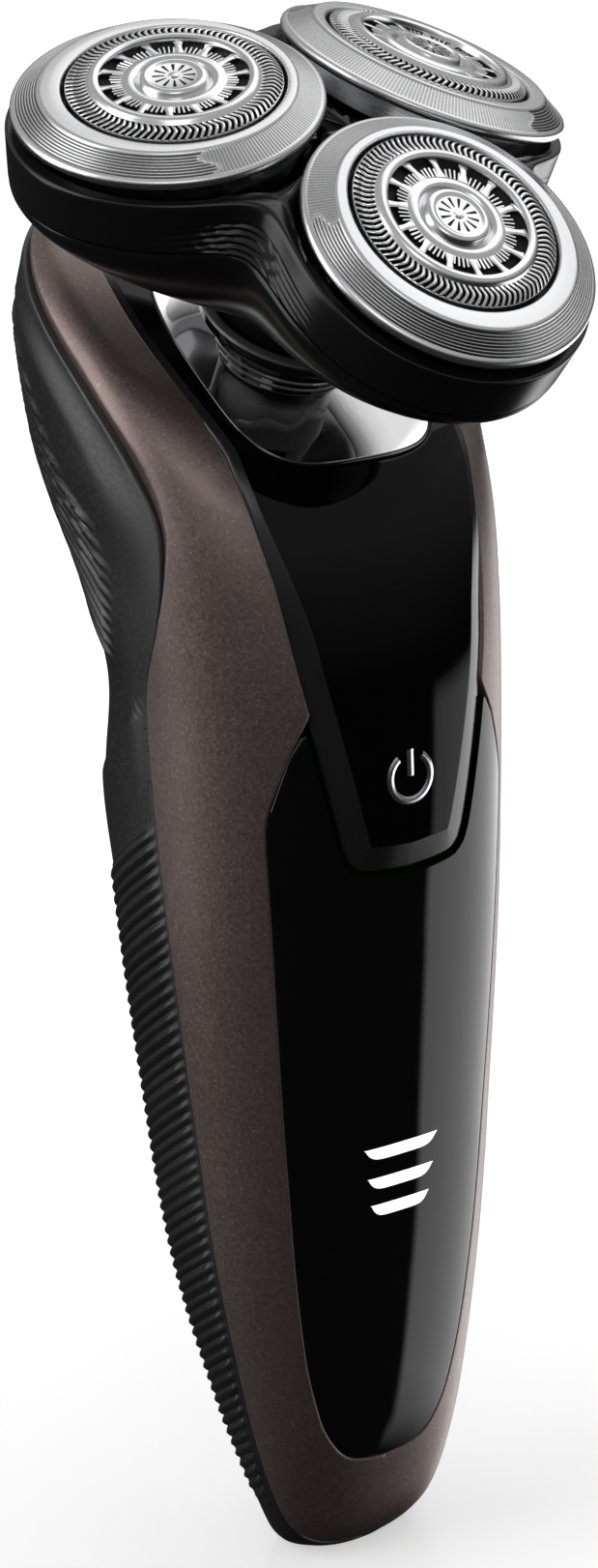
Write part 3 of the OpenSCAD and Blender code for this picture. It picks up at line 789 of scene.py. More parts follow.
def display_panel():
    """The long panel: two halves, each from the middle or the plate's edge out to the panel's edge."""
    outer = grown(spline(PANEL_HALF, 0.8), -0.2)
    notch = grown(spline(PLATE_HALF, 0.8), 0.95)
    notch = notch[notch[:, 1] < NOTCH_TOP]
    middle_z = np.linspace(outer[0, 1], notch[0, 1], 60)[:-1]
    middle = np.stack([0 * middle_z, middle_z], 1)
    split = np.argmin(np.abs(outer[:, 1] - PANEL_SPLIT))
    horn = np.vstack([outer[split:], notch[-1:]])
    parts = [(middle, outer[:split + 1], 110), (notch, horn, 60)]
    inner = from_front(np.vstack([resampled(edge, count) for edge, _, count in parts]))
    edge = from_front(np.vstack([resampled(edge, count) for _, edge, count in parts]))
    shares = np.concatenate([[0, 0.012, 0.03, 0.06], np.linspace(0.1, 1, 22)])
    rows = across_rows(edge, inner, shares, **PANEL_FORM)
    walls = add_edges(rows, 0.45, 0.9, last=False, **PANEL_FORM)
    points, faces = both_sides(walls)
    add_piece("glass_panel", points, faces, "handle", MATERIALS["black_gloss"],
              ["display_panel"])


# ---------- front plate and the cup ----------

RECESS_HALF_W, RECESS_FRONT, RECESS_BACK = 12.1, 13, 22
RECESS_SIDES = 96


def recess_outline(grow):
    """The cup's rim on the sloped face: an egg with its blunt end forward."""
    a = np.linspace(-math.pi / 2, 3 * math.pi / 2, RECESS_SIDES, endpoint=False)
    s, c = np.sin(a), np.cos(a)
    n = np.where(s < 0, 3.4, 2.6)
    reach = np.where(s < 0, RECESS_FRONT, RECESS_BACK)
    x = (RECESS_HALF_W + grow) * np.sign(c) * np.abs(c) ** (2 / n)
    v = RECESS_FRONT + (reach + grow) * np.sign(s) * np.abs(s) ** (2 / n)
    return np.stack([x, v], 1)


def length_along(points):
    """Length of the polyline up to each of its points."""
    return np.concatenate([[0], np.cumsum(np.linalg.norm(np.diff(points, axis=0), axis=1))])


# Shares of the margin's width at which the plate has a row; its bevel ends at the whole width.
MARGIN_SHARES = (0, 0.04, 0.12, 0.3, 0.5, 0.7, 0.88, 0.96, 1.0, 1.06, 1.2)
BEVEL_ROWS = MARGIN_SHARES.index(1.0)
# The plate's V ends at this height, and fans out to this length of the cup's rim.
V_TOP = 124
V_RIM_LENGTH = 13.0


def cup_side_of_plate(outer):
    """A point on the cup's rim for each point of the plate's outer edge."""
    rim = on_slope(recess_outline(0.32))[:RECESS_SIDES // 2 + 1]
    along, rim_along = length_along(outer), length_along(rim)
    v_length = along[np.argmin(np.abs(outer[:, 2] - V_TOP))]
    past_v = (along - v_length) / (along[-1] - v_length)
    wanted = np.where(along < v_length, along / v_length * V_RIM_LENGTH,
                      V_RIM_LENGTH + past_v * (rim_along[-1] - V_RIM_LENGTH))
    inner = np.stack([np.interp(wanted, rim_along, rim[:, k]) for k in range(3)], 1)
    return onto_body(inner, **PLATE_FORM)


def front_plate():
    """The V-shaped plate, which folds over the lip and goes on round the cup."""
    v_part = from_front(spline(PLATE_HALF, 0.8))
    around = on_slope(spline(SURROUND_HALF, 1.0))
    outer = onto_body(resampled(np.vstack([v_part, around]), 200), **PLATE_FORM)
    rows = plate_rows(outer, cup_side_of_plate(outer))
    points, faces = both_sides(add_edges(rows, 0.25, 1.0, **PLATE_FORM))
    margin_faces = (EDGE_ROWS + BEVEL_ROWS) * (len(outer) - 1)
    on_margin = [int(i % (len(faces) // 2) < margin_faces) for i in range(len(faces))]
    add_piece("power_plate_face", points, faces, "power_plate", [PLATE_GLOSS, PLATE_MARGIN],
              ["front_plate"], face_materials=on_margin, weld=False)


def plate_rows(outer, inner):
    """Rows of the plate: a bevelled margin of even width, then across to the cup's rim."""
    normal = body_normal(outer, **PLATE_FORM)
    run = unit(np.gradient(outer, axis=0))
    inward = unit(np.cross(normal, run))
    inward = np.where(((inner - outer) * inward).sum(-1, keepdims=True) < 0, -inward, inward)
    on_v = smooth_step(122, 106, outer[:, 2])
    margin = 0.9 + 1.7 * on_v
    drop = 0.1 + 0.5 * on_v
    rows = []
    for share in MARGIN_SHARES:
        flat = onto_body(outer + inward * (margin * share)[:, None], **PLATE_FORM)
        low = drop * (1 - min(share, 1.0))
        rows.append(flat - body_normal(flat, **PLATE_FORM) * low[:, None])
    return rows + across_rows(rows[-1], inner, np.linspace(0, 1, 46)[1:], **PLATE_FORM)


SYMBOL_Z, SYMBOL_RADIUS, SYMBOL_LINE, SYMBOL_BAR_TOP = 92.3, 2.55, 0.82, 2.95
# Section of the sign's line: share of its width, height.
SYMBOL_SECTION = ((-0.5, -0.2), (-0.5, 0.03), (-0.25, 0.12), (0, 0.15), (0.25, 0.12), (0.5, 0.03),
                  (0.5, -0.2))


def power_symbol():
    """The standard power sign as a slightly domed silver line."""
    arc = np.radians(np.linspace(125, 415, 60))
    ring = SYMBOL_RADIUS * np.stack([np.cos(arc), np.sin(arc)], 1)
    bar = np.array([(0, up) for up in np.linspace(0.1, SYMBOL_BAR_TOP, 16)])
    points, faces = [], []
    for path in (ring + [0, SYMBOL_Z], bar + [0, SYMBOL_Z]):
        run = unit(np.gradient(path, axis=0))
        side = np.stack([-run[:, 1], run[:, 0]], 1)
        rows = []
        for across, up in SYMBOL_SECTION:
            base = onto_body(from_front(path + side * across * SYMBOL_LINE), **PLATE_FORM)
            rows.append(base + body_normal(base, **PLATE_FORM) * up)
        faces += grid_faces(len(rows), len(path), first=len(points))
        points += list(np.vstack(rows))
    add_piece("power_sign", points, faces, "power_plate", SYMBOL_METAL, ["power_symbol"])


# The light bars: top edge, half width.
LIGHTS = ((50.9, 4.9), (47.4, 4.4), (44.2, 3.9))
LIGHT_THICK = 1.35
# Rows of a light: share of its height, how far it stands out of the panel.
LIGHT_ROWS = ((0, 0.0), (0, 0.06), (0.5, 0.07), (1, 0.06), (1, 0.0))


def charge_lights():
    """Three lit bars, each with a straight top edge, a bowed lower edge and pointed ends."""
    points, faces = [], []
    for top, half_width in LIGHTS:
        t = np.linspace(-1, 1, 31)
        x = t * half_width
        upper = np.stack([x, top + 0 * x], 1)
        lower = np.stack([x * 0.97, top - LIGHT_THICK * (1 - np.abs(t) ** 7)], 1)
        rows = []
        for share, out in LIGHT_ROWS:
            outline = from_front(upper + (lower - upper) * share)
            rows.append(onto_body(outline, **PANEL_FORM) + np.array([0, -out, 0]))
        faces += grid_faces(len(rows), len(t), first=len(points))
        points += list(np.vstack(rows))
    add_piece("light_bars", points, faces, "handle", MATERIALS["white_lens"], ["charge_lights"])


# The cup's section: distance outside its rim, height, and how much of a wall it is, which sets its painted glow.
CUP_SECTION = (
    (0.15, -1.2, 0), (0.18, -0.3, 0), (0.12, -0.07, 0), (0, 0.0, 0), (-0.12, -0.07, 0), (-0.22, -0.4, 1),
    (-0.5, -1.5, 1), (-0.85, -3.5, 1), (-1.4, -5.4, 1), (-2.2, -6.9, 0.8), (-3.4, -7.7, 0.3), (-4.8, -8.0, 0),
)
CUP_MIDDLE, CUP_DEPTH = 14.0, 8.05
CUP_FLOOR_SHARES = (0.35, 0.7, 0.98)


def neck_cup():
    """The mirror-bright cup: a thin rolled rim, steep walls and a floor that runs to the neck."""
    rings = [on_slope(recess_outline(grow), out) for grow, out, _ in CUP_SECTION]
    middle = on_slope([[0, CUP_MIDDLE]], -CUP_DEPTH)[0]
    rings += [rings[-1] * (1 - share) + middle * share for share in CUP_FLOOR_SHARES]
    # The wall mark sets the cup's painted glow and lighter colour; the floor, at 0, is painted dark.
    wall = np.repeat([row[2] for row in CUP_SECTION] + [0] * len(CUP_FLOOR_SHARES), RECESS_SIDES)
    faces = grid_faces(len(rings), RECESS_SIDES, closed=True)
    add_piece("mirror_cup", np.vstack(rings), faces, "handle", painted_glow_cup_material(), ["neck_recess"],
              sharp=50, weld=False, marks={"wall": wall})


# ---------- turned pieces ----------

def lathe(profile, sides):
    """Points and faces of a profile [(radius, height)] turned about Z."""
    a = np.linspace(0, 2 * math.pi, sides, endpoint=False)
    rings = [np.stack([r * np.cos(a), r * np.sin(a), 0 * a + z], 1) for r, z in profile]
    return np.vstack(rings), grid_faces(len(profile), sides, closed=True)


# Profiles round the neck, radius and height from the shaving unit's centre: the stub up to its collar,
# the collar's rim, the well inside it and the unit's plug.
STUB = [
    (3.7, -37.5), (6.3, -37.5), (6.25, -34.5), (6.2, -32), (6.3, -30.6), (6.6, -29.9), (6.95, -29.5),
    (7.0, -29.2), (6.8, -28.95), (7.05, -28.7), (7.4, -28.4), (7.45, -28.1), (7.25, -27.85),
    (7.5, -27.6), (7.9, -27.3), (7.95, -27.0), (7.75, -26.8), (8.1, -26.5), (8.6, -26.0), (9.6, -25.2),
    (10, -24.7), (10, -24.0),
]
COLLAR_RIM = [(10, -24.0), (9.9, -23.72), (9.6, -23.6), (8.95, -23.6), (8.75, -23.75), (8.7, -24.1)]
COLLAR_WELL = [(8.7, -24.1), (8.2, -25.6), (6.9, -27), (5.5, -28.4), (3.7, -30)]
PLUG = [(5.3, -21.2), (5.3, -25.9), (7.6, -25.9), (7.95, -25.5), (8, -24.6), (7.8, -24.3), (8, -24),
        (8, -21.1)]


def neck_pieces():
    """The glossy neck stub; its collar, with a painted highlight on the rim and painted shade in the well; the
    unit's plug inside it.
    """
    black, satin = MATERIALS["black_gloss"], MATERIALS["black_satin"]
    # The collar's rim and well share the stub's black gloss slot; the rim is painted grey as a highlight, the well
    # black as shade.
    for name, profile, body, slot, material, replaced in (
            ("neck_stub", STUB, "handle", "black_gloss", black, ["neck_collar"]),
            ("collar_rim", COLLAR_RIM, "handle", "black_gloss", PAINTED_RIM_HIGHLIGHT, []),
            ("collar_well", COLLAR_WELL, "handle", "black_gloss", PAINTED_SHADE_BLACK, []),
            ("unit_plug", PLUG, "shaving_unit", "black_satin", satin, ["unit_coupling"])):
        points, faces = lathe(profile, 128)
        add_piece(name, points, faces, body, material, replaced, place=NECK)


# ---------- the shaving unit's body ----------

# Each head sits in a tube, tilted outward, whose axis crosses the heads' plane POD_REACH from the middle.
POD_TILT = math.radians(15.5)
POD_REACH = 18.4
TUBE_SHIFT = 0.9
TUBE_R = 16.2
HOLE_R = 14.5
SEAM_LEVEL = -9.3
COVER_TOP = -3.9
POD_TURNS = np.radians(list(HEADS.values()))
POD_DIRECTIONS = np.stack([np.cos(POD_TURNS), np.sin(POD_TURNS)], 1)
TUBE_BLEND = 4.0
LEVEL_BLEND = 1.6
UNIT_ANGLES = np.linspace(0, 2 * math.pi, 360, endpoint=False)
UNIT_DIRECTIONS = np.stack([np.cos(UNIT_ANGLES), np.sin(UNIT_ANGLES)], 1)
ARM_MIDDLES = np.radians([-150, -30, 90])


def soft_min(values, width):
    """Smooth smallest of the last axis."""
    return -width * np.log(np.exp(-values / width).sum(-1))


def level_height(flat, level):
    """Height of a level under the heads' planes, over points in the neck's frame."""
    along = -soft_min(-flat @ POD_DIRECTIONS.T, LEVEL_BLEND)
    return (level - math.sin(POD_TILT) * (along - POD_REACH)) / math.cos(POD_TILT)


def tube_distance(flat, z, shift):
    """Distance from each head's axis, moved outward by shift."""
    along = (flat @ POD_DIRECTIONS.T - POD_REACH) * math.cos(POD_TILT) - z[:, None] * math.sin(POD_TILT)
    aside = flat[:, :1] * -POD_DIRECTIONS[:, 1] + flat[:, 1:] * POD_DIRECTIONS[:, 0]
    return np.hypot(along - shift, aside)


def unit_outline(level, radius):
    """The ring, in the neck's frame, where a level meets the rounded wall round the three tubes."""
    low, high = np.full(len(UNIT_ANGLES), 1.0), np.full(len(UNIT_ANGLES), 60.0)
    for _ in range(40):
        r = (low + high) / 2
        flat = UNIT_DIRECTIONS * r[:, None]
        z = level_height(flat, level)
        outside = soft_min(tube_distance(flat, z, TUBE_SHIFT) - radius, TUBE_BLEND) > 0
        high, low = np.where(outside, r, high), np.where(outside, low, r)
    return np.column_stack([flat, z])


def arm_nearness():
    """1 in the middle of each arm between two heads, 0 at the heads, and the angle from that middle."""
    turn = (UNIT_ANGLES[:, None] - ARM_MIDDLES + math.pi) % (2 * math.pi) - math.pi
    turn = turn[np.arange(len(turn)), np.argmin(np.abs(turn), axis=1)]
    return smooth_step(0.42, 0.1, np.abs(turn)), turn


# Finger ridges: where they start, as a share of the band's height, and how far they bend at their ends.
RIDGE_START, RIDGE_BEND, RIDGE_COUNT, RIDGE_DEPTH = 0.38, 1.2, 7.5, 0.32


def cover_wall():
    """Rings of the band round the three heads, with the finger ridges on its arms."""
    near, turn = arm_nearness()
    top_edge = ((0.05, 0.45), (0.02, 0.22), (0.1, 0.08), (0.3, 0))
    rings = [unit_outline(COVER_TOP - down, TUBE_R - inside) for down, inside in top_edge]
    for level in np.linspace(COVER_TOP - 0.7, SEAM_LEVEL + 0.35, 34):
        ring = unit_outline(level, TUBE_R)
        down = (COVER_TOP - level) / (COVER_TOP - SEAM_LEVEL) - RIDGE_BEND * turn ** 2
        ripple = 0.5 - 0.5 * np.cos(2 * math.pi * (down - RIDGE_START) * RIDGE_COUNT)
        shown = near * smooth_step(0.34, 0.42, down) * smooth_step(0.98, 0.9, down)
        ring[:, :2] += UNIT_DIRECTIONS * (RIDGE_DEPTH * shown * (ripple - 1))[:, None]
        rings.append(ring)
    for up, inside in ((0.15, 0.06), (0.06, 0.3)):
        rings.append(unit_outline(SEAM_LEVEL + up, TUBE_R - inside))
    return rings


def top_cover():
    """The cover: its band, and a top with a round hole for each head."""
    wall = cover_wall()
    rings = web_rings(wall[0]) + wall + [unit_outline(SEAM_LEVEL + 0.06, TUBE_R - 1.4)]
    faces = grid_faces(len(rings), len(UNIT_ANGLES), closed=True)
    add_piece("head_cover", in_world(np.vstack(rings), NECK), faces, "cover", COVER_BLACK,
              ["top_cover"], sharp=40)


def web_rings(edge):
    """Rings from the middle out to the band's top edge, sunk wherever a head sits."""
    rings = []
    for share in (0.02, 0.1, 0.2, 0.3, 0.4, 0.5, 0.6, 0.7, 0.8, 0.88, 0.93, 0.965):
        flat = edge[:, :2] * share
        z = level_height(flat, COVER_TOP - 0.1)
        sink = 4.6 * smooth_step(HOLE_R + 0.9, HOLE_R - 0.9, tube_distance(flat, z, 0).min(-1))
        dip = 1.6 * smooth_step(0.97, 0.7, share)
        rings.append(np.column_stack([flat, z - sink - dip]))
    return rings


BOWL_FOOT_R, BOWL_FOOT_LEVEL = 8.9, -20.95


def lower_housing():
    """The bulging bowl from the seam under the heads down to the neck."""
    seam = unit_outline(SEAM_LEVEL - 0.3, TUBE_R - 0.05)
    away = np.column_stack([UNIT_DIRECTIONS, 0 * UNIT_ANGLES])
    foot = away * BOWL_FOOT_R + [0, 0, BOWL_FOOT_LEVEL]
    reach = np.linalg.norm((seam - foot)[:, :2], axis=1)[:, None]
    fall = (seam - foot)[:, 2:]
    down = np.array([0, 0, -1.0])
    under_seam = seam + down * fall * 0.42 - away * reach * 0.03
    off_foot = foot + away * reach * 0.42 - down * fall * 0.16
    top_edge = ((0.06, 1.4), (0.06, 0.3), (0.14, 0.1))
    rings = [unit_outline(SEAM_LEVEL - under, TUBE_R - inside) for under, inside in top_edge]
    for t in np.linspace(0, 1, 40):
        rings.append((1 - t) ** 3 * seam + 3 * t * (1 - t) ** 2 * under_seam
                     + 3 * t ** 2 * (1 - t) * off_foot + t ** 3 * foot)
    rings += [foot * [share, share, 1] + [0, 0, -0.05] for share in (0.96, 0.62)]
    faces = grid_faces(len(rings), len(UNIT_ANGLES), closed=True)
    add_piece("unit_bowl", in_world(np.vstack(rings), NECK), faces, "shaving_unit",
              COVER_BLACK, ["lower_housing"], sharp=40)


# ---------- the heads ----------

# The ring's outside is turned about an axis RING_SHIFT further from the neck than its bore.
RING_R = 15.8
RING_SHIFT = 0.7
RING_BORE = 11.3
RING_SIDES = 960
# Inside FLAT_R the ring is flat; from there to RIM_R it slopes, with grooves or with knurling.
FLAT_R = 12.9
RIM_R = RING_R - 0.45
GROOVES = 8
KNURL_HALF = math.radians(75)
KNURL_LINES = RING_SIDES / 4
CUT_DEPTH = 0.12
# Rolled edges and hidden skirt of a ring: radius, height.
RING_BORE_EDGE = ((RING_BORE + 0.05, -1.25), (RING_BORE, -0.25), (RING_BORE + 0.12, -0.04),
                  (RING_BORE + 0.3, 0.0))
RING_RIM = ((RING_R - 0.15, -1.72), (RING_R - 0.02, -1.95), (RING_R, -2.3), (RING_R - 0.1, -2.62),
            (RING_R - 0.4, -2.78))
RING_SKIRT = ((13.6, -2.8), (13.6, -5.1), (12.75, -5.1), (12.75, -1.3))


def ring_surface(r, angle):
    """Height and depth of cut of the ring's top at radius r; angle 0 is away from the neck. The cut also sets
    painted shade.
    """
    slope = -0.12 - 1.45 * (r - FLAT_R) / (RIM_R - FLAT_R)
    slope = smooth_step(FLAT_R - 0.25, FLAT_R + 0.25, r) * slope
    share = (r - FLAT_R - 0.15) / (RIM_R - FLAT_R - 0.2)
    if not 0 < share < 1:
        return slope, 0 * angle
    inward = math.pi - np.abs(angle)
    edge = KNURL_HALF + 0.06 * math.sin(2 * math.pi * share)
    knurled = smooth_step(edge + 0.012, edge - 0.012, inward)
    groove = math.exp(-((share * GROOVES % 1 - 0.5) / 0.3) ** 2)
    border = np.exp(-((inward - edge) / 0.02) ** 2)
    line = angle * KNURL_LINES / (2 * math.pi)
    knurl = 0.5 * smooth_step(0.25, 0.75, np.abs(line % 1 - 0.5) * 2)
    cut = (1 - border) * ((1 - knurled) * groove + knurled * knurl)
    return slope - CUT_DEPTH * cut, cut


def shaving_ring(name, place, away):
    """The metal ring: flat inside, then a bevelled band with grooves, and knurling near the neck."""
    turn = np.linspace(-math.pi, math.pi, RING_SIDES, endpoint=False)
    band = np.linspace(13.05, RIM_R - 0.05, 66)
    radii = np.concatenate([[12.0, 12.4, 12.65, 12.8, 12.95], band, [RIM_R + 0.03]])

    def ring(r, z, shift):
        x = r * np.cos(turn + away) + shift * math.cos(away)
        y = r * np.sin(turn + away) + shift * math.sin(away)
        return np.stack([x, y, 0 * turn + z], 1)

    tops = [ring_surface(r, turn) for r in radii]
    rings = [ring(r, z, 0) for r, z in RING_BORE_EDGE]
    rings += [ring(r, height, RING_SHIFT) for r, (height, _) in zip(radii, tops)]
    rings += [ring(r, z, RING_SHIFT) for r, z in RING_RIM] + [ring(r, z, 0) for r, z in RING_SKIRT]
    # The cut mark carries the depth of cut to the material, which paints shade in the grooves and knurling.
    cuts = np.zeros((len(rings), RING_SIDES))
    first = len(RING_BORE_EDGE)
    cuts[first:first + len(tops)] = [cut for _, cut in tops]
    add_piece(f"metal_ring_{name}", np.vstack(rings), grid_faces(len(rings), RING_SIDES, closed=True),
              f"head_{name}", MATERIALS["steel"], [f"ring_{name}"], place=place, sharp=60,
              weld=False, marks={"cut": cuts.ravel()})


class Cap:
    """Points and faces of a cap under construction; each face is bright (0) or painted black as shade in a slot
    (1).
    """

    def __init__(self):
        self.points, self.faces, self.dark = [], [], []

    def add(self, points, faces, dark):
        first = len(self.points)
        self.points += [tuple(p) for p in points]
        self.faces += [tuple(first + i for i in face) for face in faces]
        self.dark += dark

    def bar(self, radii, angles, half_width, top, depth, dark=False):
        """A raised bar with rounded shoulders; each value may be one number or one for each radius."""
        section = ((-1, depth), (-1, 0.06), (-0.55, 0), (0.55, 0), (1, 0.06), (1, depth))
        wide, long = len(section), len(radii)
        points = []
        for r, a, half, z in zip(*np.broadcast_arrays(radii, angles, half_width, top)):
            for side, drop in section:
                turn = a + side * half / max(r, 1)
                points.append((r * math.cos(turn), r * math.sin(turn), z - drop))
        ends = [tuple(range(wide))[::-1], tuple(range(len(points) - wide, len(points)))]
        faces = grid_faces(long, wide) + ends
        # A bar's side walls are painted black as shade; a dark bar is painted shade all over.
        shades = [1, 0, 0, 0, 1] * (long - 1) + [1, 1]
        self.add(points, faces, [1] * len(faces) if dark else shades)

    def turned(self, profile, dark=False):
        points, faces = lathe(profile, 144)
        self.add(points, faces, [int(dark)] * len(faces))


CAP_R = 10.9
SLITS = 90
SLIT_TRACK = np.linspace(8.72, 10.86, 11)
WINDOWS = 14
WINDOW_INSIDE, WINDOW_OUTSIDE, WINDOW_TOP = 5.2, 7.5, 0.42
COMB_TEETH = 4
TRACK_DEPTH = 0.5
VENT_RAYS = 12
VENT_TOP = 0.9
# Turned parts of the cap: the smooth ridge, the outer wall, and the inner ring with its dished centre.
CAP_RIDGE = [(8.75, -0.15), (8.78, 0.44), (8.62, 0.62), (8.45, 0.86), (8.2, 0.98), (7.85, 0.98), (7.55, 0.84),
             (7.42, 0.5), (7.4, -0.15)]
CAP_WALL = [(CAP_R - 0.12, -0.15), (CAP_R - 0.1, 0.02), (CAP_R, -0.05), (CAP_R, -2.2), (CAP_R - 0.5, -2.2)]
CAP_CENTRE = [(5.3, -0.15), (5.3, 0.38), (5.1, 0.5), (4.75, 0.6), (4.35, 0.64), (4.05, 0.55), (3.85, 0.32),
              (3.7, 0.2), (3.55, 0.3), (3.42, 0.72), (3.25, 0.92), (2.95, 1.02), (2.7, 0.99), (2.55, 0.9),
              (2.3, 0.87), (0.55, 0.88), (0.5, 0.98), (0.3, 1.03), (0.001, 1.04)]
CAP_FLOOR = [(5.2, -0.14), (10.6, -0.12)]


def slotted_cap(name, place):
    """The cap: bent slits outside, a smooth ridge, windows with combs, and a dished centre with vents."""
    cap = Cap()
    share = np.linspace(0, 1, len(SLIT_TRACK))
    bend = 0.05 * (1 - np.abs(2 * share - 1) ** 1.5) - 0.02 * share
    slit_top = 0.46 - 0.42 * np.maximum(0, SLIT_TRACK - 9.9) ** 1.7
    for i in range(SLITS):
        cap.bar(SLIT_TRACK, 2 * math.pi * i / SLITS + bend, 0.17, slit_top, TRACK_DEPTH)
    window = 2 * math.pi / WINDOWS
    bridge = np.linspace(WINDOW_INSIDE, WINDOW_OUTSIDE, 5)
    lean = 0.02 * (bridge - 5)
    for i in range(WINDOWS):
        cap.bar(bridge, window * i + lean, (0.6, 0.42, 0.32, 0.36, 0.52), WINDOW_TOP, TRACK_DEPTH)
        for tooth in range(COMB_TEETH):
            length = 1.0 + 0.25 * math.sin(math.pi * (tooth + 0.5) / COMB_TEETH)
            radii = np.linspace(WINDOW_INSIDE, WINDOW_INSIDE + length, 4)
            turn = window * (i + (tooth + 1.3) / (COMB_TEETH + 1.6))
            cap.bar(radii, turn, 0.115, WINDOW_TOP, TRACK_DEPTH)
    for profile in (CAP_RIDGE, CAP_WALL, CAP_CENTRE):
        cap.turned(profile)
    # A floor of painted shade under the slits, so that they look black.
    cap.turned(CAP_FLOOR, dark=True)
    # The vents are dark bars of painted shade standing for open slots.
    ray = np.linspace(0.95, 2.15, 4)
    for i in range(VENT_RAYS):
        cap.bar(ray, 2 * math.pi * i / VENT_RAYS, (0.1, 0.16, 0.21, 0.24), VENT_TOP, 0.05, dark=True)
    add_piece(f"slotted_cap_{name}", cap.points, cap.faces, f"head_{name}",
              [MATERIALS["bright_steel"], PAINTED_SHADE_BLACK], [f"cap_{name}"], place=place,
              face_materials=cap.dark, sharp=40, weld=False)


# ---------- carried-over CAD nodes ----------

def dress_cad_nodes():
    """Gives every CAD node the full material of its slot, and the cutters a dark steel."""
    slots = {part["node"]: part["material_slot"] for part in frame["record"]["subparts"]}
    for name, node in frame["nodes"].items():
        material = DARK_STEEL if name.startswith("cutter_") else MATERIALS[slots[name]]
        node.data.materials.clear()
        node.data.materials.append(material)
        node.data.shade_smooth()
        node.data.set_sharp_from_angle(angle=math.radians(30))


# ---------- stage, light and camera ----------

# A grey card low on the right gives the panel its hard-edged reflection: its sides, as turns about Z.
CARD_START = math.radians(-47)
CARD_END = math.radians(22)
CARD_GLOW = (1.3, 2.4)


def floor_material():
    """Pale and slightly glossy, with a painted glow: dimmer round the shaver as painted shade, rising to white
    away from it.
    """
    m = Surface("pale_floor")
    away = m.length(m.place())
    m.set(
        Base_Color=m.ramp(m.noise(3), (0.3, (0.8, 0.8, 0.8)), (0.7, (0.83, 0.83, 0.83))),
        Roughness=m.between(m.noise(8), 0.3, 0.7, 0.16, 0.2),
        Emission_Color=(1, 1, 1, 1), Emission_Strength=m.between(away, 0.02, 0.3, 0.5, 1.0),
    )
    return m.material


def stage_floor():
    """The floor takes the shaver's shadow, but isn't mirrored in it and throws no light up at it."""
    mesh = bpy.data.meshes.new("floor")
    corners = [(-6, -6, 0), (6, -6, 0), (6, 6, 0), (-6, 6, 0)]
    mesh.from_pydata(corners, [], [(0, 1, 2, 3)])
    mesh.materials.append(floor_material())
    floor = bpy.data.objects.new("floor", mesh)
    bpy.context.scene.collection.objects.link(floor)
    floor.visible_glossy = False
    floor.visible_diffuse = False


def softbox(name, place, target, size, radiance, mirrored=True):
    """A rectangular light, out of the camera's sight, of a given brightness."""
    light = bpy.data.lights.new(name, "AREA")
    light.shape = "RECTANGLE"
    light.size, light.size_y = size
    light.energy = radiance * math.pi * size[0] * size[1]
    lamp = bpy.data.objects.new(name, light)
    bpy.context.scene.collection.objects.link(lamp)
    lamp.location = place
    lamp.rotation_euler = (Vector(target) - Vector(place)).to_track_quat("-Z", "Y").to_euler()
    lamp.visible_camera = False
    lamp.visible_glossy = mirrored


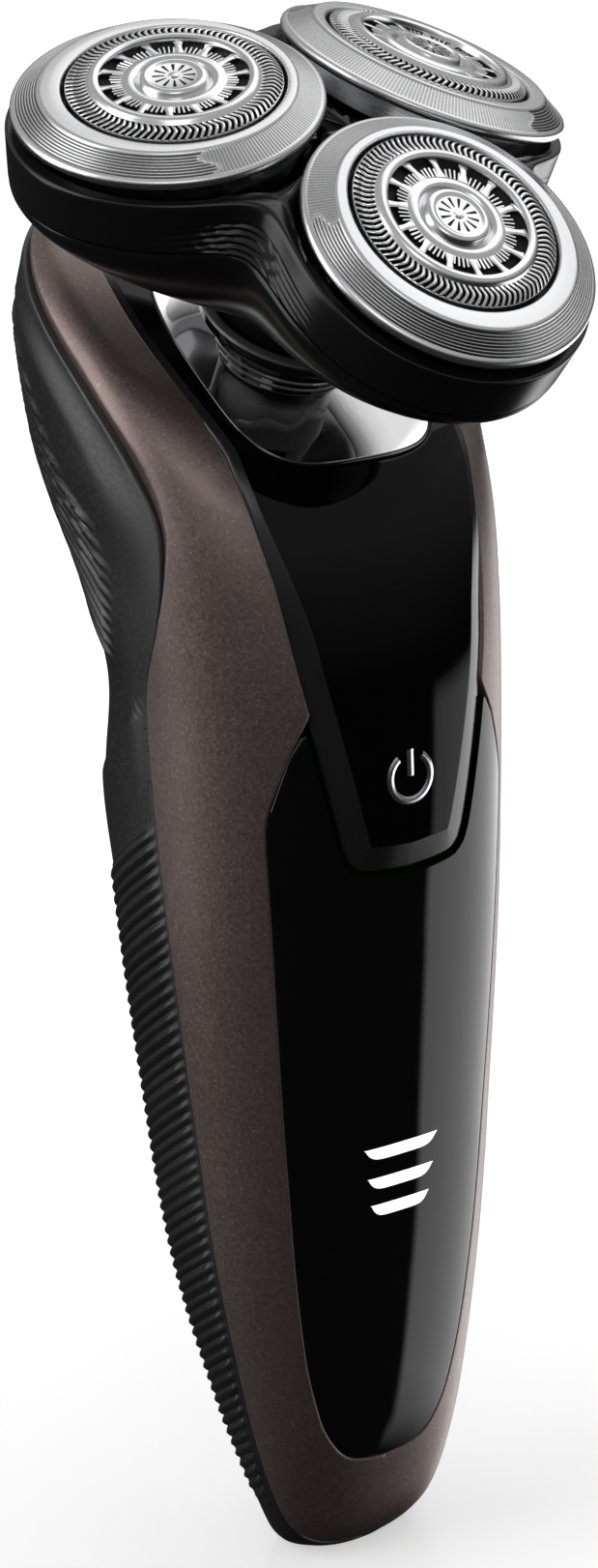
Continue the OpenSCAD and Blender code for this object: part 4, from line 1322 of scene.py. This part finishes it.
def world_light():
    """White where the camera looks past the floor; a plain studio for everything that reflects it."""
    world = bpy.data.worlds.new("studio")
    world.use_nodes = True
    bpy.context.scene.world = world
    w = Nodes(world.node_tree)
    sight = w.add("ShaderNodeTexCoord").outputs["Generated"]
    way = w.add("ShaderNodeSeparateXYZ", {"Vector": sight}).outputs
    turn, height = w.combine("ARCTAN2", way["Y"], way["X"]), way["Z"]
    card_sides = w.between(turn, CARD_START - 0.02, CARD_START + 0.02, 0, 1)
    card_ends = w.combine("MINIMUM", w.between(height, -0.1, -0.16, 0, 1),
                          w.between(height, -0.68, -0.55, 0, 1))
    card = w.combine("MULTIPLY", card_sides, card_ends)
    card = w.combine("MULTIPLY", card, w.between(turn, CARD_START, CARD_END, *CARD_GLOW))
    card = w.combine("MULTIPLY", card, w.between(turn, CARD_END, CARD_END + 0.3, 1, 0))
    mirrored = w.combine("MAXIMUM", card, w.between(height, -0.05, 0.35, 0.02, 0.42))
    soft = w.between(height, -0.2, 0.5, 0.03, 0.3)
    ray = w.add("ShaderNodeLightPath").outputs
    reflected = w.blend(ray["Is Diffuse Ray"], mirrored, soft, kind="FLOAT")
    background = w.tree.nodes["Background"]
    w.put(background.inputs["Color"], (1, 1, 1, 1))
    w.put(background.inputs["Strength"], w.blend(ray["Is Camera Ray"], reflected, 1.0, kind="FLOAT"))


# The photo's camera, as worked out from the outlines of the caps; its place is from the unit's centre.
LENS = 92.77
CAMERA_RIGHT = Vector((0.80810, -0.58905, 0))
CAMERA_UP = Vector((0.18960, 0.26011, 0.94678))
CAMERA_FROM_HEADS = Vector((-0.24239, -0.32334, 0.06700))


def camera():
    data = bpy.data.cameras.new("camera")
    data.lens = LENS
    data.sensor_width = 36
    view = bpy.data.objects.new("camera", data)
    bpy.context.scene.collection.objects.link(view)
    back = CAMERA_RIGHT.cross(CAMERA_UP)
    view.matrix_world = axes_matrix(CAMERA_RIGHT, CAMERA_UP, back, NECK.translation + CAMERA_FROM_HEADS)
    bpy.context.scene.camera = view


def lights():
    """Softboxes round the shaver; the one on the right leaves no mirror image."""
    centre = (0, 0, 0.1)
    softbox("top", (0.45, 0.15, 0.8), centre, (0.75, 0.6), 0.9)
    softbox("left", (-0.85, 0.2, 0.45), centre, (0.45, 0.9), 2.3)
    softbox("back", (-0.8, 0.6, 0.2), centre, (0.4, 0.8), 2.0)
    softbox("front", (-0.5, -0.75, 0.75), centre, (0.5, 0.4), 1.3)
    softbox("right", (0.8, -0.35, 0.4), centre, (0.25, 0.6), 0.5, mirrored=False)


bpy.context.scene.view_settings.view_transform = "Standard"
camera()
dress_cad_nodes()
frame_shell()
back_grip()
display_panel()
front_plate()
power_symbol()
charge_lights()
neck_cup()
neck_pieces()
top_cover()
lower_housing()
for head in HEADS:
    head_place, away_turn = head_frame(head)
    shaving_ring(head, head_place, away_turn)
    slotted_cap(head, head_place)
stage_floor()
world_light()
lights()
